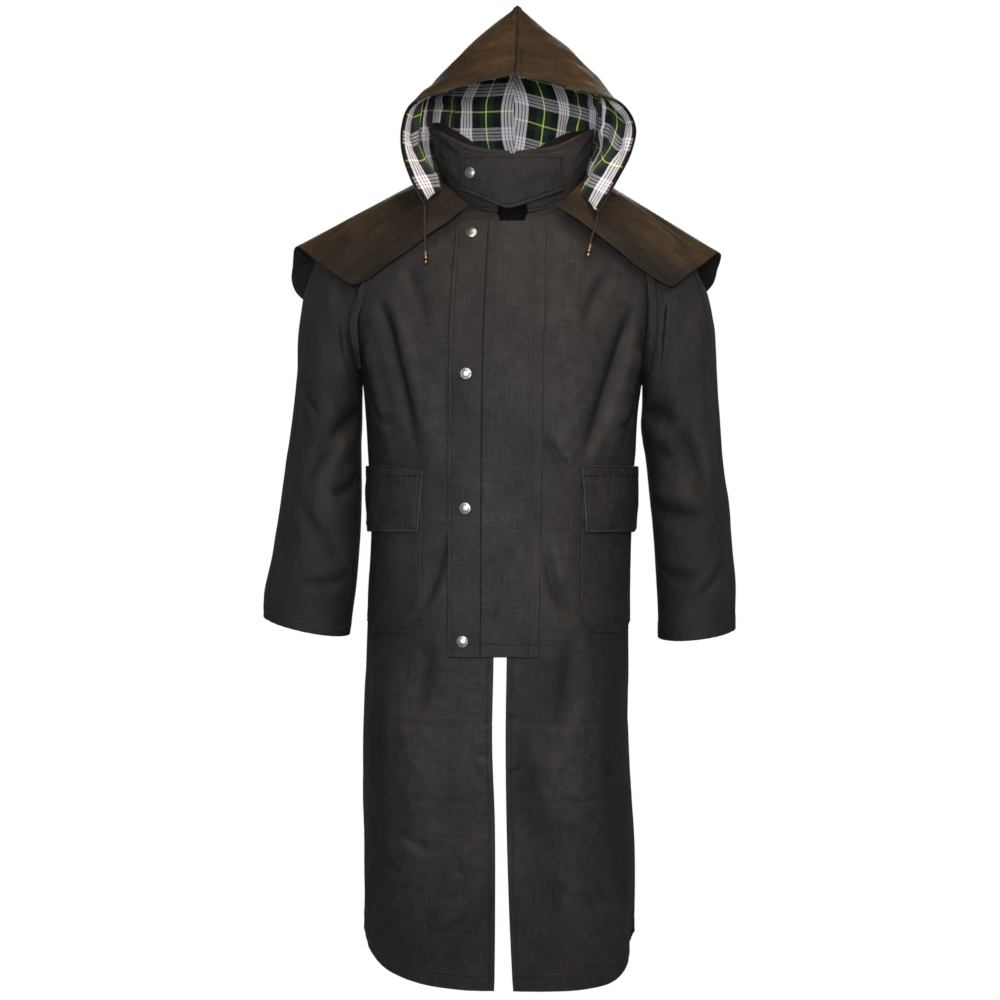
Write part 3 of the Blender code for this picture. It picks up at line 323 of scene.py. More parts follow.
# ------------------------------------------------------------------ folds
def noise(x, y, seed):
    """Smooth random heights between -1 and 1 with one hill per unit, the same each run."""
    lattice = np.random.RandomState(seed).uniform(-1, 1, (64, 64))
    x, y = np.broadcast_arrays(np.asarray(x, float), np.asarray(y, float))
    xi, yi = np.floor(x).astype(int), np.floor(y).astype(int)
    fx, fy = x - xi, y - yi
    fx, fy = fx ** 3 * (fx * (6 * fx - 15) + 10), fy ** 3 * (fy * (6 * fy - 15) + 10)
    at = lambda i, j: lattice[(xi + i) % 64, (yi + j) % 64]
    return ((at(0, 0) * (1 - fx) + at(1, 0) * fx) * (1 - fy) + (at(0, 1) * (1 - fx) + at(1, 1) * fx) * fy) * 1.4


def folds(s, h, table, unit=(1.0, 1.0)):
    """Height of a table of folds at each point of the cloth.

    Each fold runs through three points (s, h); depth < 0 is a trough, lip the share of a
    ridge pushed up beside it (on the left of its run, or on the right if negative).
    """
    out = np.zeros(s.shape)
    d = table.data
    t = np.linspace(0, 1, 41)[:, None]
    for i in range(len(d["n"])):
        a, b, c = (np.array((d[f"s{k}"][i] * unit[0], d[f"h{k}"][i] * unit[1])) for k in range(3))
        bend = 2 * b - (a + c) / 2
        line = (1 - t) ** 2 * a + 2 * t * (1 - t) * bend + t ** 2 * c
        run = np.gradient(line, axis=0)
        run /= np.linalg.norm(run, axis=1, keepdims=True)
        reach = 4 * d["width"][i]
        near = ((s > line[:, 0].min() - reach) & (s < line[:, 0].max() + reach)
                & (h > line[:, 1].min() - reach) & (h < line[:, 1].max() + reach))
        if not near.any():
            continue
        ps, ph = s[near][:, None] - line[:, 0], h[near][:, None] - line[:, 1]
        k = np.argmin(ps ** 2 + ph ** 2, axis=1)
        pick = np.arange(len(k))
        away = run[k, 0] * ph[pick, k] - run[k, 1] * ps[pick, k]
        along = t[k, 0]
        # nearest sample refined along the run, so that the fold's height has no steps
        along = along + (run[k, 0] * ps[pick, k] + run[k, 1] * ph[pick, k]) / np.linalg.norm(np.diff(line, axis=0), axis=1).sum()
        strength = ease(along / 0.34) * ease((1 - along) / 0.34)
        w = d["width"][i] * (0.7 + 0.3 * strength)
        side = np.sign(d["lip"][i])
        lip = abs(d["lip"][i]) * hump(away - side * 1.7 * w, 1.15 * w)
        out[near] += d["depth"][i] * strength * (hump(away, w) - lip)
    return out


FOLD_COLUMNS = "n s0 h0 s1 h1 s2 h2 width depth lip"
# On the fronts and back s is metres from the centre edge round the body, h the height.
FOLDS = {
    "front_right": Table(FOLD_COLUMNS, [
        (0, 0.184, -0.140, 0.154, -0.250, 0.108, -0.398, 0.0120, -0.0058, -0.45),
        (1, 0.214, -0.190, 0.196, -0.280, 0.150, -0.405, 0.0150, 0.0034, 0.0),
        (2, 0.068, -0.490, 0.083, -0.552, 0.110, -0.622, 0.0100, -0.0034, -0.35),
        (3, 0.094, -0.640, 0.104, -0.720, 0.126, -0.815, 0.0160, -0.0034, -0.30),
        (4, 0.186, -0.660, 0.202, -0.880, 0.208, -1.130, 0.0300, -0.0070, 0.0),
        (5, 0.112, -0.690, 0.122, -0.880, 0.120, -1.130, 0.0320, 0.0055, 0.0),
        (6, 0.145, -0.928, 0.118, -0.949, 0.088, -0.964, 0.0062, -0.0024, 0.45),
        (7, 0.026, -0.8165, 0.013, -0.8215, 0.000, -0.8240, 0.0036, -0.0019, 0.45),
        (8, 0.020, -0.8610, 0.010, -0.8585, 0.000, -0.8570, 0.0032, -0.0015, -0.4),
        (9, 0.018, -0.7730, 0.008, -0.7748, 0.000, -0.7752, 0.0032, -0.0014, 0.4),
        (10, 0.060, -0.980, 0.049, -0.990, 0.040, -1.000, 0.0045, -0.0016, 0.4),
        (11, 0.004, -0.7745, 0.100, -0.7760, 0.225, -0.7710, 0.0040, -0.0008, 0.5),
        (12, 0.004, -0.8870, 0.110, -0.8900, 0.230, -0.8840, 0.0040, -0.0007, -0.5),
        (13, 0.190, -0.960, 0.160, -0.985, 0.125, -0.995, 0.0080, -0.0020, 0.4),
        (14, 0.215, -0.300, 0.185, -0.330, 0.150, -0.340, 0.0070, -0.0022, 0.4),
        (15, 0.030, -1.045, 0.060, -1.070, 0.095, -1.080, 0.0080, -0.0016, 0.4),
        (16, 0.150, -0.095, 0.120, -0.150, 0.105, -0.215, 0.0110, -0.0020, 0.3),
        (17, 0.085, -0.250, 0.092, -0.330, 0.090, -0.420, 0.0180, 0.0020, 0.0)]),
    "front_left": Table(FOLD_COLUMNS, [
        (0, 0.188, -0.150, 0.152, -0.272, 0.104, -0.402, 0.0130, -0.0060, 0.45),
        (1, 0.214, -0.200, 0.192, -0.290, 0.148, -0.405, 0.0150, 0.0034, 0.0),
        (2, 0.044, -0.346, 0.066, -0.384, 0.096, -0.414, 0.0080, -0.0034, 0.40),
        (3, 0.044, -0.492, 0.068, -0.575, 0.110, -0.632, 0.0100, -0.0040, 0.40),
        (4, 0.100, -0.640, 0.090, -0.715, 0.086, -0.800, 0.0160, -0.0034, 0.30),
        (5, 0.180, -0.650, 0.190, -0.880, 0.192, -1.130, 0.0300, -0.0070, 0.0),
        (6, 0.106, -0.700, 0.110, -0.880, 0.110, -1.130, 0.0320, 0.0055, 0.0),
        (7, 0.022, -0.790, 0.036, -0.880, 0.070, -0.985, 0.0130, -0.0034, 0.30),
        (8, 0.000, -0.7660, 0.010, -0.7645, 0.022, -0.7605, 0.0036, -0.0017, 0.45),
        (9, 0.000, -0.8445, 0.011, -0.8425, 0.027, -0.8370, 0.0036, -0.0018, 0.45),
        (10, 0.065, -0.990, 0.070, -1.020, 0.071, -1.065, 0.0060, -0.0017, 0.4),
        (11, 0.004, -0.7740, 0.100, -0.7765, 0.215, -0.7720, 0.0040, -0.0008, -0.5),
        (12, 0.004, -0.8850, 0.100, -0.8880, 0.215, -0.8830, 0.0040, -0.0007, 0.5),
        (13, 0.150, -0.820, 0.175, -0.850, 0.205, -0.860, 0.0090, -0.0024, 0.4),
        (14, 0.218, -0.310, 0.190, -0.338, 0.152, -0.345, 0.0070, -0.0022, -0.4),
        (15, 0.120, -1.010, 0.150, -1.035, 0.185, -1.040, 0.0080, -0.0018, 0.4),
        (16, 0.150, -0.100, 0.118, -0.150, 0.100, -0.220, 0.0110, -0.0022, -0.3),
        (17, 0.086, -0.240, 0.092, -0.320, 0.086, -0.400, 0.0180, 0.0020, 0.0)]),
    "back_right": Table(FOLD_COLUMNS, [
        (0, 0.086, -0.500, 0.102, -0.800, 0.112, -1.150, 0.0320, -0.0085, 0.0),
        (1, 0.186, -0.480, 0.198, -0.800, 0.208, -1.130, 0.0300, 0.0065, 0.0),
        (2, 0.200, -0.250, 0.140, -0.330, 0.070, -0.470, 0.0140, -0.0048, -0.40),
        (3, 0.215, -0.330, 0.165, -0.420, 0.120, -0.540, 0.0130, -0.0044, 0.40),
        (4, 0.060, -0.280, 0.052, -0.390, 0.066, -0.520, 0.0200, 0.0030, 0.0),
        (5, 0.020, -0.600, 0.042, -0.660, 0.082, -0.700, 0.0090, -0.0030, 0.40),
        (6, 0.230, -0.560, 0.190, -0.590, 0.140, -0.600, 0.0080, -0.0024, 0.40),
        (7, 0.000, -0.7745, 0.110, -0.7765, 0.235, -0.7720, 0.0040, -0.0008, 0.5),
        (8, 0.000, -0.8880, 0.110, -0.8900, 0.235, -0.8850, 0.0040, -0.0007, -0.5),
        (9, 0.150, -0.900, 0.170, -0.960, 0.165, -1.040, 0.0120, -0.0026, 0.35),
        (10, 0.030, -0.840, 0.044, -0.930, 0.040, -1.020, 0.0140, -0.0030, 0.35),
        (11, 0.000, -0.7050, 0.012, -0.7020, 0.030, -0.6950, 0.0040, -0.0016, 0.4),
        (12, 0.000, -0.9350, 0.010, -0.9330, 0.026, -0.9280, 0.0036, -0.0015, 0.4)]),
    "back_left": Table(FOLD_COLUMNS, [
        (0, 0.092, -0.520, 0.098, -0.810, 0.108, -1.150, 0.0320, -0.0085, 0.0),
        (1, 0.176, -0.500, 0.186, -0.820, 0.198, -1.130, 0.0300, 0.0065, 0.0),
        (2, 0.202, -0.260, 0.150, -0.350, 0.078, -0.450, 0.0140, -0.0048, 0.40),
        (3, 0.210, -0.350, 0.172, -0.440, 0.116, -0.520, 0.0130, -0.0040, -0.40),
        (4, 0.064, -0.300, 0.058, -0.410, 0.070, -0.510, 0.0200, 0.0028, 0.0),
        (5, 0.018, -0.610, 0.046, -0.650, 0.088, -0.674, 0.0090, -0.0030, -0.40),
        (6, 0.225, -0.600, 0.180, -0.622, 0.130, -0.626, 0.0080, -0.0022, -0.40),
        (7, 0.000, -0.7745, 0.110, -0.7765, 0.235, -0.7720, 0.0040, -0.0008, 0.5),
        (8, 0.000, -0.8880, 0.110, -0.8900, 0.235, -0.8850, 0.0040, -0.0007, -0.5),
        (9, 0.140, -0.880, 0.150, -0.950, 0.142, -1.060, 0.0120, -0.0024, -0.35),
        (10, 0.034, -0.860, 0.050, -0.960, 0.042, -1.060, 0.0140, -0.0030, -0.35),
        (11, 0.000, -0.7300, 0.012, -0.7270, 0.028, -0.7190, 0.0040, -0.0016, 0.4),
        (12, 0.000, -0.9900, 0.010, -0.9880, 0.026, -0.9830, 0.0036, -0.0015, 0.4)])}

# On the sleeves s is degrees round the arm (0 outer, 90 front, 180 inner, 270 back) and h
# the ring from armhole (0) to cuff (11).
DEG, RING = 0.00118, 0.0565      # metres a degree and a ring take on the cloth
SLEEVE_FOLDS = {
    RIGHT: Table(FOLD_COLUMNS, [
        (0, 132, 1.8, 88, 3.8, 44, 5.8, 0.0160, 0.0042, 0.0),
        (1, 172, 2.4, 138, 4.0, 98, 5.5, 0.0120, -0.0064, -0.40),
        (2, 124, 4.6, 92, 5.7, 58, 7.1, 0.0100, -0.0050, -0.40),
        (3, 166, 5.2, 132, 6.2, 94, 6.8, 0.0090, -0.0042, 0.35),
        (4, 56, 7.2, 96, 8.0, 146, 8.4, 0.0120, -0.0036, 0.35),
        (5, 158, 8.5, 112, 9.2, 66, 9.4, 0.0100, -0.0026, 0.35),
        (6, 95, 1.6, 101, 1.95, 107, 2.3, 0.0060, -0.0044, 0.40),
        (7, 36, 4.6, 60, 5.2, 84, 5.1, 0.0080, -0.0024, 0.40),
        (8, 244, 4.5, 288, 5.6, 334, 6.4, 0.0140, -0.0060, 0.35),
        (9, 208, 5.7, 250, 6.6, 304, 7.2, 0.0120, -0.0050, 0.35),
        (10, 340, 6.8, 292, 7.8, 236, 8.2, 0.0120, -0.0042, 0.35),
        (11, 196, 3.3, 240, 4.0, 296, 4.2, 0.0120, -0.0042, 0.35),
        (12, 350, 2.2, 364, 3.6, 372, 5.2, 0.0140, 0.0030, 0.0),
        (13, 228, 8.8, 280, 9.4, 334, 9.6, 0.0100, -0.0030, 0.35),
        (14, 238, 1.2, 262, 2.2, 270, 3.4, 0.0120, -0.0034, 0.35)]),
    LEFT: Table(FOLD_COLUMNS, [
        (0, 164, 2.0, 130, 3.8, 97, 5.3, 0.0120, -0.0064, -0.45),
        (1, 106, 4.8, 86, 6.4, 52, 8.1, 0.0130, -0.0060, 0.40),
        (2, 176, 6.1, 122, 7.2, 58, 8.1, 0.0120, -0.0056, 0.40),
        (3, 84, 1.2, 91, 1.45, 97, 1.7, 0.0052, -0.0042, 0.40),
        (4, 95, 1.45, 101, 1.7, 107, 1.95, 0.0052, -0.0040, 0.40),
        (5, 105, 1.75, 110, 2.0, 114, 2.3, 0.0050, -0.0034, 0.40),
        (6, 150, 4.6, 120, 5.6, 104, 6.3, 0.0100, -0.0030, -0.35),
        (7, 54, 3.0, 60, 4.6, 50, 6.2, 0.0180, 0.0034, 0.0),
        (8, 160, 8.5, 118, 9.1, 74, 9.3, 0.0100, -0.0030, 0.35),
        (9, 44, 8.9, 70, 9.6, 104, 9.9, 0.0090, -0.0022, -0.35),
        (10, 240, 4.4, 286, 5.5, 332, 6.3, 0.0140, -0.0060, -0.35),
        (11, 206, 5.9, 252, 6.7, 306, 7.3, 0.0120, -0.0050, 0.35),
        (12, 342, 6.9, 296, 7.8, 238, 8.1, 0.0120, -0.0042, 0.35),
        (13, 198, 3.4, 244, 4.1, 298, 4.3, 0.0120, -0.0042, -0.35),
        (14, 350, 2.4, 366, 3.8, 374, 5.4, 0.0140, 0.0030, 0.0),
        (15, 226, 8.9, 276, 9.5, 330, 9.6, 0.0100, -0.0030, 0.35),
        (16, 240, 1.3, 264, 2.3, 272, 3.5, 0.0120, -0.0034, -0.35)])}

# On the collar s is degrees from centre front, negative on the right, h the share of its height.
COLLAR_DEG, COLLAR_UP = 0.0019, 0.090
COLLAR_FOLDS = Table(FOLD_COLUMNS, [
    (0, -96, 0.97, -64, 0.86, -38, 0.72, 0.0050, -0.0026, 0.60),
    (1, -86, 0.78, -70, 0.66, -54, 0.50, 0.0046, -0.0026, 0.60),
    (2, -74, 0.42, -58, 0.36, -40, 0.22, 0.0050, -0.0018, 0.50),
    (3, -112, 0.62, -96, 0.46, -80, 0.34, 0.0060, -0.0020, 0.50),
    (4, 92, 0.86, 70, 0.74, 52, 0.62, 0.0055, -0.0020, -0.55),
    (5, 84, 0.50, 66, 0.42, 50, 0.30, 0.0050, -0.0018, -0.50),
    (6, 118, 0.70, 100, 0.52, 88, 0.40, 0.0060, -0.0018, -0.50),
    (7, 150, 0.85, 146, 0.50, 138, 0.20, 0.0090, -0.0020, 0.40),
    (8, -148, 0.85, -150, 0.50, -140, 0.20, 0.0090, -0.0020, 0.40),
    (9, 178, 0.90, 180, 0.55, 176, 0.25, 0.0110, -0.0016, 0.40)])

# On the cape s is the share q from front edge to centre back, h the share from neck to hem.
CAPE_Q, CAPE_V = 0.62, 0.19
CAPE_FOLDS = {
    RIGHT: Table(FOLD_COLUMNS, [
        (0, 0.06, 0.25, 0.10, 0.55, 0.13, 0.95, 0.0140, -0.0026, 0.4),
        (1, 0.22, 0.30, 0.25, 0.60, 0.27, 1.00, 0.0160, 0.0028, 0.0),
        (2, 0.33, 0.40, 0.35, 0.70, 0.36, 1.00, 0.0130, -0.0024, 0.4),
        (3, 0.58, 0.20, 0.62, 0.60, 0.64, 1.05, 0.0200, -0.0040, 0.3),
        (4, 0.74, 0.15, 0.77, 0.60, 0.79, 1.05, 0.0220, 0.0042, 0.0),
        (5, 0.88, 0.20, 0.90, 0.60, 0.91, 1.05, 0.0200, -0.0042, 0.3)]),
    LEFT: Table(FOLD_COLUMNS, [
        (0, 0.08, 0.20, 0.11, 0.55, 0.12, 0.95, 0.0140, -0.0024, -0.4),
        (1, 0.20, 0.30, 0.22, 0.60, 0.24, 1.00, 0.0160, 0.0026, 0.0),
        (2, 0.31, 0.35, 0.34, 0.70, 0.36, 1.00, 0.0130, -0.0026, -0.4),
        (3, 0.56, 0.20, 0.60, 0.60, 0.63, 1.05, 0.0200, -0.0040, 0.3),
        (4, 0.72, 0.15, 0.76, 0.60, 0.78, 1.05, 0.0220, 0.0042, 0.0),
        (5, 0.86, 0.20, 0.89, 0.60, 0.90, 1.05, 0.0200, -0.0040, 0.3)])}

# On the hood s is the share from centre seam to opening, h the share from neck to top seam.
HOOD_S, HOOD_T = 0.25, 0.36
HOOD_FOLDS = {
    RIGHT: Table(FOLD_COLUMNS, [
        (0, 0.55, 0.97, 0.58, 0.86, 0.62, 0.74, 0.0120, -0.0026, 0.4),
        (1, 0.80, 0.93, 0.78, 0.80, 0.80, 0.66, 0.0140, 0.0022, 0.0),
        (2, 0.15, 0.30, 0.30, 0.40, 0.52, 0.42, 0.0150, -0.0040, 0.4),
        (3, 0.10, 0.62, 0.26, 0.58, 0.46, 0.62, 0.0150, -0.0036, 0.4),
        (4, 0.35, 0.10, 0.48, 0.24, 0.66, 0.30, 0.0130, -0.0034, 0.4),
        (5, 0.86, 0.10, 0.80, 0.26, 0.78, 0.46, 0.0130, 0.0022, 0.0)]),
    LEFT: Table(FOLD_COLUMNS, [
        (0, 0.25, 0.97, 0.30, 0.88, 0.34, 0.80, 0.0120, -0.0024, -0.4),
        (1, 0.66, 0.95, 0.66, 0.82, 0.70, 0.68, 0.0140, 0.0024, 0.0),
        (2, 0.14, 0.34, 0.30, 0.42, 0.50, 0.40, 0.0150, -0.0040, -0.4),
        (3, 0.12, 0.58, 0.28, 0.60, 0.48, 0.66, 0.0150, -0.0036, 0.4),
        (4, 0.34, 0.12, 0.50, 0.22, 0.68, 0.32, 0.0130, -0.0034, -0.4),
        (5, 0.88, 0.12, 0.82, 0.28, 0.80, 0.48, 0.0130, 0.0022, 0.0)])}


FOLD_GAIN = 1.80


def fold_shading_and_wear(lift, amount=0.65):
    """Painted light and shade on the folds: raised folds are painted paler, which also stands for wax rubbed off them,
    and hollows are painted darker as painted shade.
    """
    return amount * np.clip(lift / 0.0065, -1, 0.40)


def body_lift(key, s, h):
    """All the folds and the soft unevenness of a body panel."""
    seed = dict(front_right=11, front_left=23, back_right=37, back_left=51)[key]
    lift = FOLD_GAIN * folds(s, h, FOLDS[key])
    lift = lift + 0.0016 * noise(s / 0.075, h / 0.26, seed) + 0.0007 * noise(s / 0.034 + 7, h / 0.075, seed + 1)
    return lift + 0.00026 * noise(s / 0.013, h / 0.021 + 3, seed + 2)


# ------------------------------------------------------------------ sheets of cloth
class Sheet:
    """A grid of cloth points [row, column], with its normals and its own flat coordinates.

    rows and cols are the values that name each row and column, both rising.
    """

    def __init__(self, points, towards, rows, cols, s, h):
        self.p = np.array(points, float)
        self.towards = towards
        self.rows, self.cols = np.asarray(rows, float), np.asarray(cols, float)
        self.s, self.h = (np.array(x) for x in np.broadcast_arrays(s, h))
        self.tone = np.zeros(self.p.shape[:2])
        self.n = outward(self.p, towards)
        self.measure()

    def measure(self):
        """Flat size of the cut, and each point's distance along the cloth to the four edges."""
        across = np.linalg.norm(np.diff(self.p, axis=1), axis=-1)
        along = np.linalg.norm(np.diff(self.p, axis=0), axis=-1)
        self.area = float((0.25 * (across[:-1] + across[1:]) * (along[:, :-1] + along[:, 1:])).sum())
        du, dv = self.p[:, 1:] - self.p[:, :-1], self.p[1:] - self.p[:-1]
        cross = np.linalg.norm(np.cross(du[:-1], dv[:, :-1]), axis=-1) / 2 + np.linalg.norm(np.cross(du[1:], dv[:, 1:]), axis=-1) / 2
        self.area = float(cross.sum())
        a = np.concatenate([np.zeros((len(self.p), 1)), np.cumsum(across, 1)], 1)
        b = np.concatenate([np.zeros((1, self.p.shape[1])), np.cumsum(along, 0)], 0)
        self.to = dict(start=a, end=a[:, -1:] - a, low=b, high=b[-1:] - b)
        self.wide, self.long = float(a[:, -1].max()), float(b[-1].max())

    def push(self, lift):
        self.p = self.p + self.n * lift[..., None]

    def settle(self):
        self.n = outward(self.p, self.towards)

    def groove(self, distance, at, depth=0.0006, width=0.0011):
        """A line of stitches at a distance from an edge: the cloth is drawn in along it, with painted shade in the
        groove.
        """
        g = hump(distance - at, width)
        self.push(-depth * g)
        self.tone -= 0.85 * g

    def band(self, distance, width, height=0.0006):
        """Turned-in double cloth along an edge, stitched down at its width."""
        self.push(height * (1 - ease((distance - width + 0.0012) / 0.0026)))
        self.groove(distance, width - 0.0022)

    def worn(self, distance, reach=0.0022, amount=0.10):
        self.tone += amount * ease(1 - distance / reach)

    def seam(self, distance, depth=0.0010, width=0.0024):
        """The cloth dips where two panels are sewn together."""
        g = hump(distance, width)
        self.push(-depth * g)
        self.tone -= 0.7 * g

    def line(self, rows, cols, thick, raise_by=0.0):
        """Points and normals on the outer face along row and column values."""
        i = np.interp(rows, self.rows, np.arange(len(self.rows)))
        j = np.interp(cols, self.cols, np.arange(len(self.cols)))
        outer = Lattice(self.p + self.n * (thick + raise_by))
        n = Lattice(self.n).at(i, j)
        return outer.at(i, j), n / np.linalg.norm(n, axis=-1, keepdims=True)


def spots(length, step, marks=(), ends=True):
    """Positions from 0 to length at about a step, closer around stitch lines and edges."""
    base = list(np.linspace(0, length, max(3, int(round(length / step)) + 1)))
    fine = []
    for m in marks:
        fine += [m - 0.0036, m - 0.0018, m - 0.0008, m, m + 0.0008, m + 0.0018, m + 0.0036]
    if ends:
        fine += [0.0010, 0.0024, length - 0.0024, length - 0.0010]
    fine = [f for f in fine if 0 < f < length]
    keep = [b for b in base if b in (0, length) or all(abs(b - f) > 0.0011 for f in fine)]
    out = np.unique(np.round(sorted(keep + fine), 6))
    good = [out[0]]
    for x in out[1:]:
        if x - good[-1] > 0.0005 or x == out[-1]:
            good.append(x)
    good[0], good[-1] = 0.0, length
    return np.array(good)


PIECES = {}


def shell(name, node, sheets, thick, outer_mat, inner_mat=None, free=("start", "end", "low", "high"), bulge=0.45):
    """A thin closed wall over one or two sheets, grown outwards, with rounded free edges."""
    verts, faces, inside, uvs, tones = [], [], [], [], []
    count = 0
    for sheet in sheets:
        rows, cols = sheet.p.shape[:2]
        inner, outer = sheet.p, sheet.p + sheet.n * thick
        middle = sheet.p + sheet.n * thick / 2
        ring = ([(0, j, "low") for j in range(cols)] + [(i, cols - 1, "end") for i in range(1, rows)]
                + [(rows - 1, j, "high") for j in range(cols - 2, -1, -1)] + [(i, 0, "start") for i in range(rows - 2, 0, -1)])
        step = dict(low=(1, 0), high=(-1, 0), end=(0, -1), start=(0, 1))
        rim = []
        for i, j, edge in ring:
            di, dj = step[edge]
            away = middle[i, j] - middle[min(max(i + di, 0), rows - 1), min(max(j + dj, 0), cols - 1)]
            away = away / (np.linalg.norm(away) + 1e-9)
            rim.append(middle[i, j] + away * (thick * bulge if edge in free else 0.0))
        index = np.arange(rows * cols).reshape(rows, cols)
        quads = np.stack([index[:-1, :-1], index[:-1, 1:], index[1:, 1:], index[1:, :-1]], -1).reshape(-1, 4)
        i, j = rows // 2, cols // 2
        turn = np.cross(sheet.p[i, j + 1] - sheet.p[i, j], sheet.p[i + 1, j] - sheet.p[i, j]) @ sheet.n[i, j] < 0
        size = rows * cols
        around = np.array([index[i, j] for i, j, _ in ring])
        nxt = np.roll(around, -1)
        r0 = 2 * size + np.arange(len(ring))
        r1 = np.roll(r0, -1)
        side_out = np.stack([nxt, around, r0, r1], -1)
        side_in = np.stack([r1, r0, around + size, nxt + size], -1)
        every = np.concatenate([quads, quads[:, ::-1] + size, side_out, side_in])
        if turn:
            every = every[:, ::-1]
        verts += [outer.reshape(-1, 3), inner.reshape(-1, 3), np.array(rim)]
        faces.append(every + count)
        inside.append(np.concatenate([np.zeros(len(quads)), np.ones(len(quads)), np.zeros(2 * len(ring))]))
        flat = np.stack([sheet.s, sheet.h], -1).reshape(-1, 2)
        uvs += [flat, flat, flat[around]]
        tone = sheet.tone.reshape(-1)
        tones += [tone, tone * 0.3, tone[around]]
        count += 2 * size + len(ring)
    verts, faces, uvs, tones = np.concatenate(verts), np.concatenate(faces), np.concatenate(uvs), np.concatenate(tones)
    mesh = bpy.data.meshes.new(name)
    mesh.from_pydata(verts, [], faces.tolist())
    mesh.update()
    corners = np.empty(len(mesh.loops), np.int32)
    mesh.loops.foreach_get("vertex_index", corners)
    layer = mesh.uv_layers.new(name="cloth")
    layer.uv.foreach_set("vector", uvs[corners].astype(np.float32).ravel())
    tone = mesh.attributes.new("tone", "FLOAT", "POINT")
    tone.data.foreach_set("value", np.clip(tones, -1, 1).astype(np.float32))
    mesh.shade_smooth()
    mesh.materials.append(outer_mat)
    if inner_mat:
        mesh.materials.append(inner_mat)
        mesh.polygons.foreach_set("material_index", np.concatenate(inside).astype(np.int32))
    obj = bpy.data.objects.new(name, mesh)
    scene.collection.objects.link(obj)
    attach(obj, "root")
    if node:
        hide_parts(node)
    PIECES[name] = obj
    return obj


def stitching(name, lines, mat, pitch=0.0036, length=0.0027, radius=0.00036):
    """Rows of single stitches as one joined mesh: each a small bent grain lying on the cloth."""
    centres, runs, ups = [], [], []
    for points, normals in lines:
        step = np.linalg.norm(np.diff(points, axis=0), axis=1)
        run = np.concatenate([[0], np.cumsum(step)])
        if run[-1] < 2 * pitch:
            continue
        at = np.arange(pitch * 0.6, run[-1] - pitch * 0.4, pitch)
        pick = lambda a: np.stack([np.interp(at, run, a[:, i]) for i in range(3)], 1)
        tangent = np.gradient(points, axis=0)
        centres.append(pick(points))
        runs.append(pick(tangent))
        ups.append(pick(normals))
    c, t, n = np.concatenate(centres), np.concatenate(runs), np.concatenate(ups)
    t /= np.linalg.norm(t, axis=1, keepdims=True) + 1e-12
    n = n - t * (n * t).sum(1, keepdims=True)
    n /= np.linalg.norm(n, axis=1, keepdims=True) + 1e-12
    b = np.cross(t, n)
    half, r = length / 2, radius
    grain = [(-half, 0, -0.5 * r), (-0.5 * half, 1.2 * r, 0), (-0.5 * half, 0, r), (-0.5 * half, -1.2 * r, 0), (-0.5 * half, 0, -r),
             (0.5 * half, 1.2 * r, 0), (0.5 * half, 0, r), (0.5 * half, -1.2 * r, 0), (0.5 * half, 0, -r), (half, 0, -0.5 * r)]
    verts = np.stack([c + t * g[0] + b * g[1] + n * g[2] for g in grain], 1).reshape(-1, 3)
    tris = [(0, 1, 2), (0, 2, 3), (0, 3, 4), (0, 4, 1), (9, 6, 5), (9, 7, 6), (9, 8, 7), (9, 5, 8)]
    for k in range(4):
        m = (k + 1) % 4
        tris += [(1 + k, 5 + k, 5 + m), (1 + k, 5 + m, 1 + m)]
    tris = np.array(tris)
    faces = (tris[None] + 10 * np.arange(len(c))[:, None, None]).reshape(-1, 3)
    mesh = bpy.data.meshes.new(name)
    mesh.from_pydata(verts, [], faces.tolist())
    mesh.update()
    mesh.shade_smooth()
    mesh.materials.append(mat)
    obj = bpy.data.objects.new(name, mesh)
    scene.collection.objects.link(obj)
    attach(obj, "root")
    return obj


def turned(name, profile, sides, mat, at, along, node):
    """Round piece from (radius, height) pairs, standing at a point along a direction."""
    axis = np.array(along, float) / np.linalg.norm(along)
    side = np.cross(axis, (0.0, 0.0, 1.0) if abs(axis[2]) < 0.9 else (1.0, 0.0, 0.0))
    side /= np.linalg.norm(side)
    up = np.cross(axis, side)
    verts, faces, rings = [], [], []
    for r, h in profile:
        turns = [0.0] if r < 1e-7 else [2 * math.pi * k / sides for k in range(sides)]
        rings.append(range(len(verts), len(verts) + len(turns)))
        verts += [np.array(at) + axis * h + r * (math.cos(a) * side + math.sin(a) * up) for a in turns]
    for a, b in zip(rings, rings[1:]):
        for k in range(sides):
            quad = [a[k % len(a)], a[(k + 1) % len(a)], b[(k + 1) % len(b)], b[k % len(b)]]
            faces.append(list(dict.fromkeys(quad)))
    faces = [f for f in faces if len(f) > 2]
    mesh = bpy.data.meshes.new(name)
    mesh.from_pydata([tuple(v) for v in verts], [], faces)
    mesh.update()
    import bmesh
    bm = bmesh.new()
    bm.from_mesh(mesh)
    bmesh.ops.recalc_face_normals(bm, faces=bm.faces)
    bm.to_mesh(mesh)
    bm.free()
    mesh.shade_smooth()
    mesh.set_sharp_from_angle(angle=math.radians(55))
    mesh.materials.append(mat)
    obj = bpy.data.objects.new(name, mesh)
    scene.collection.objects.link(obj)
    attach(obj, "root")
    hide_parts(node)
    return obj


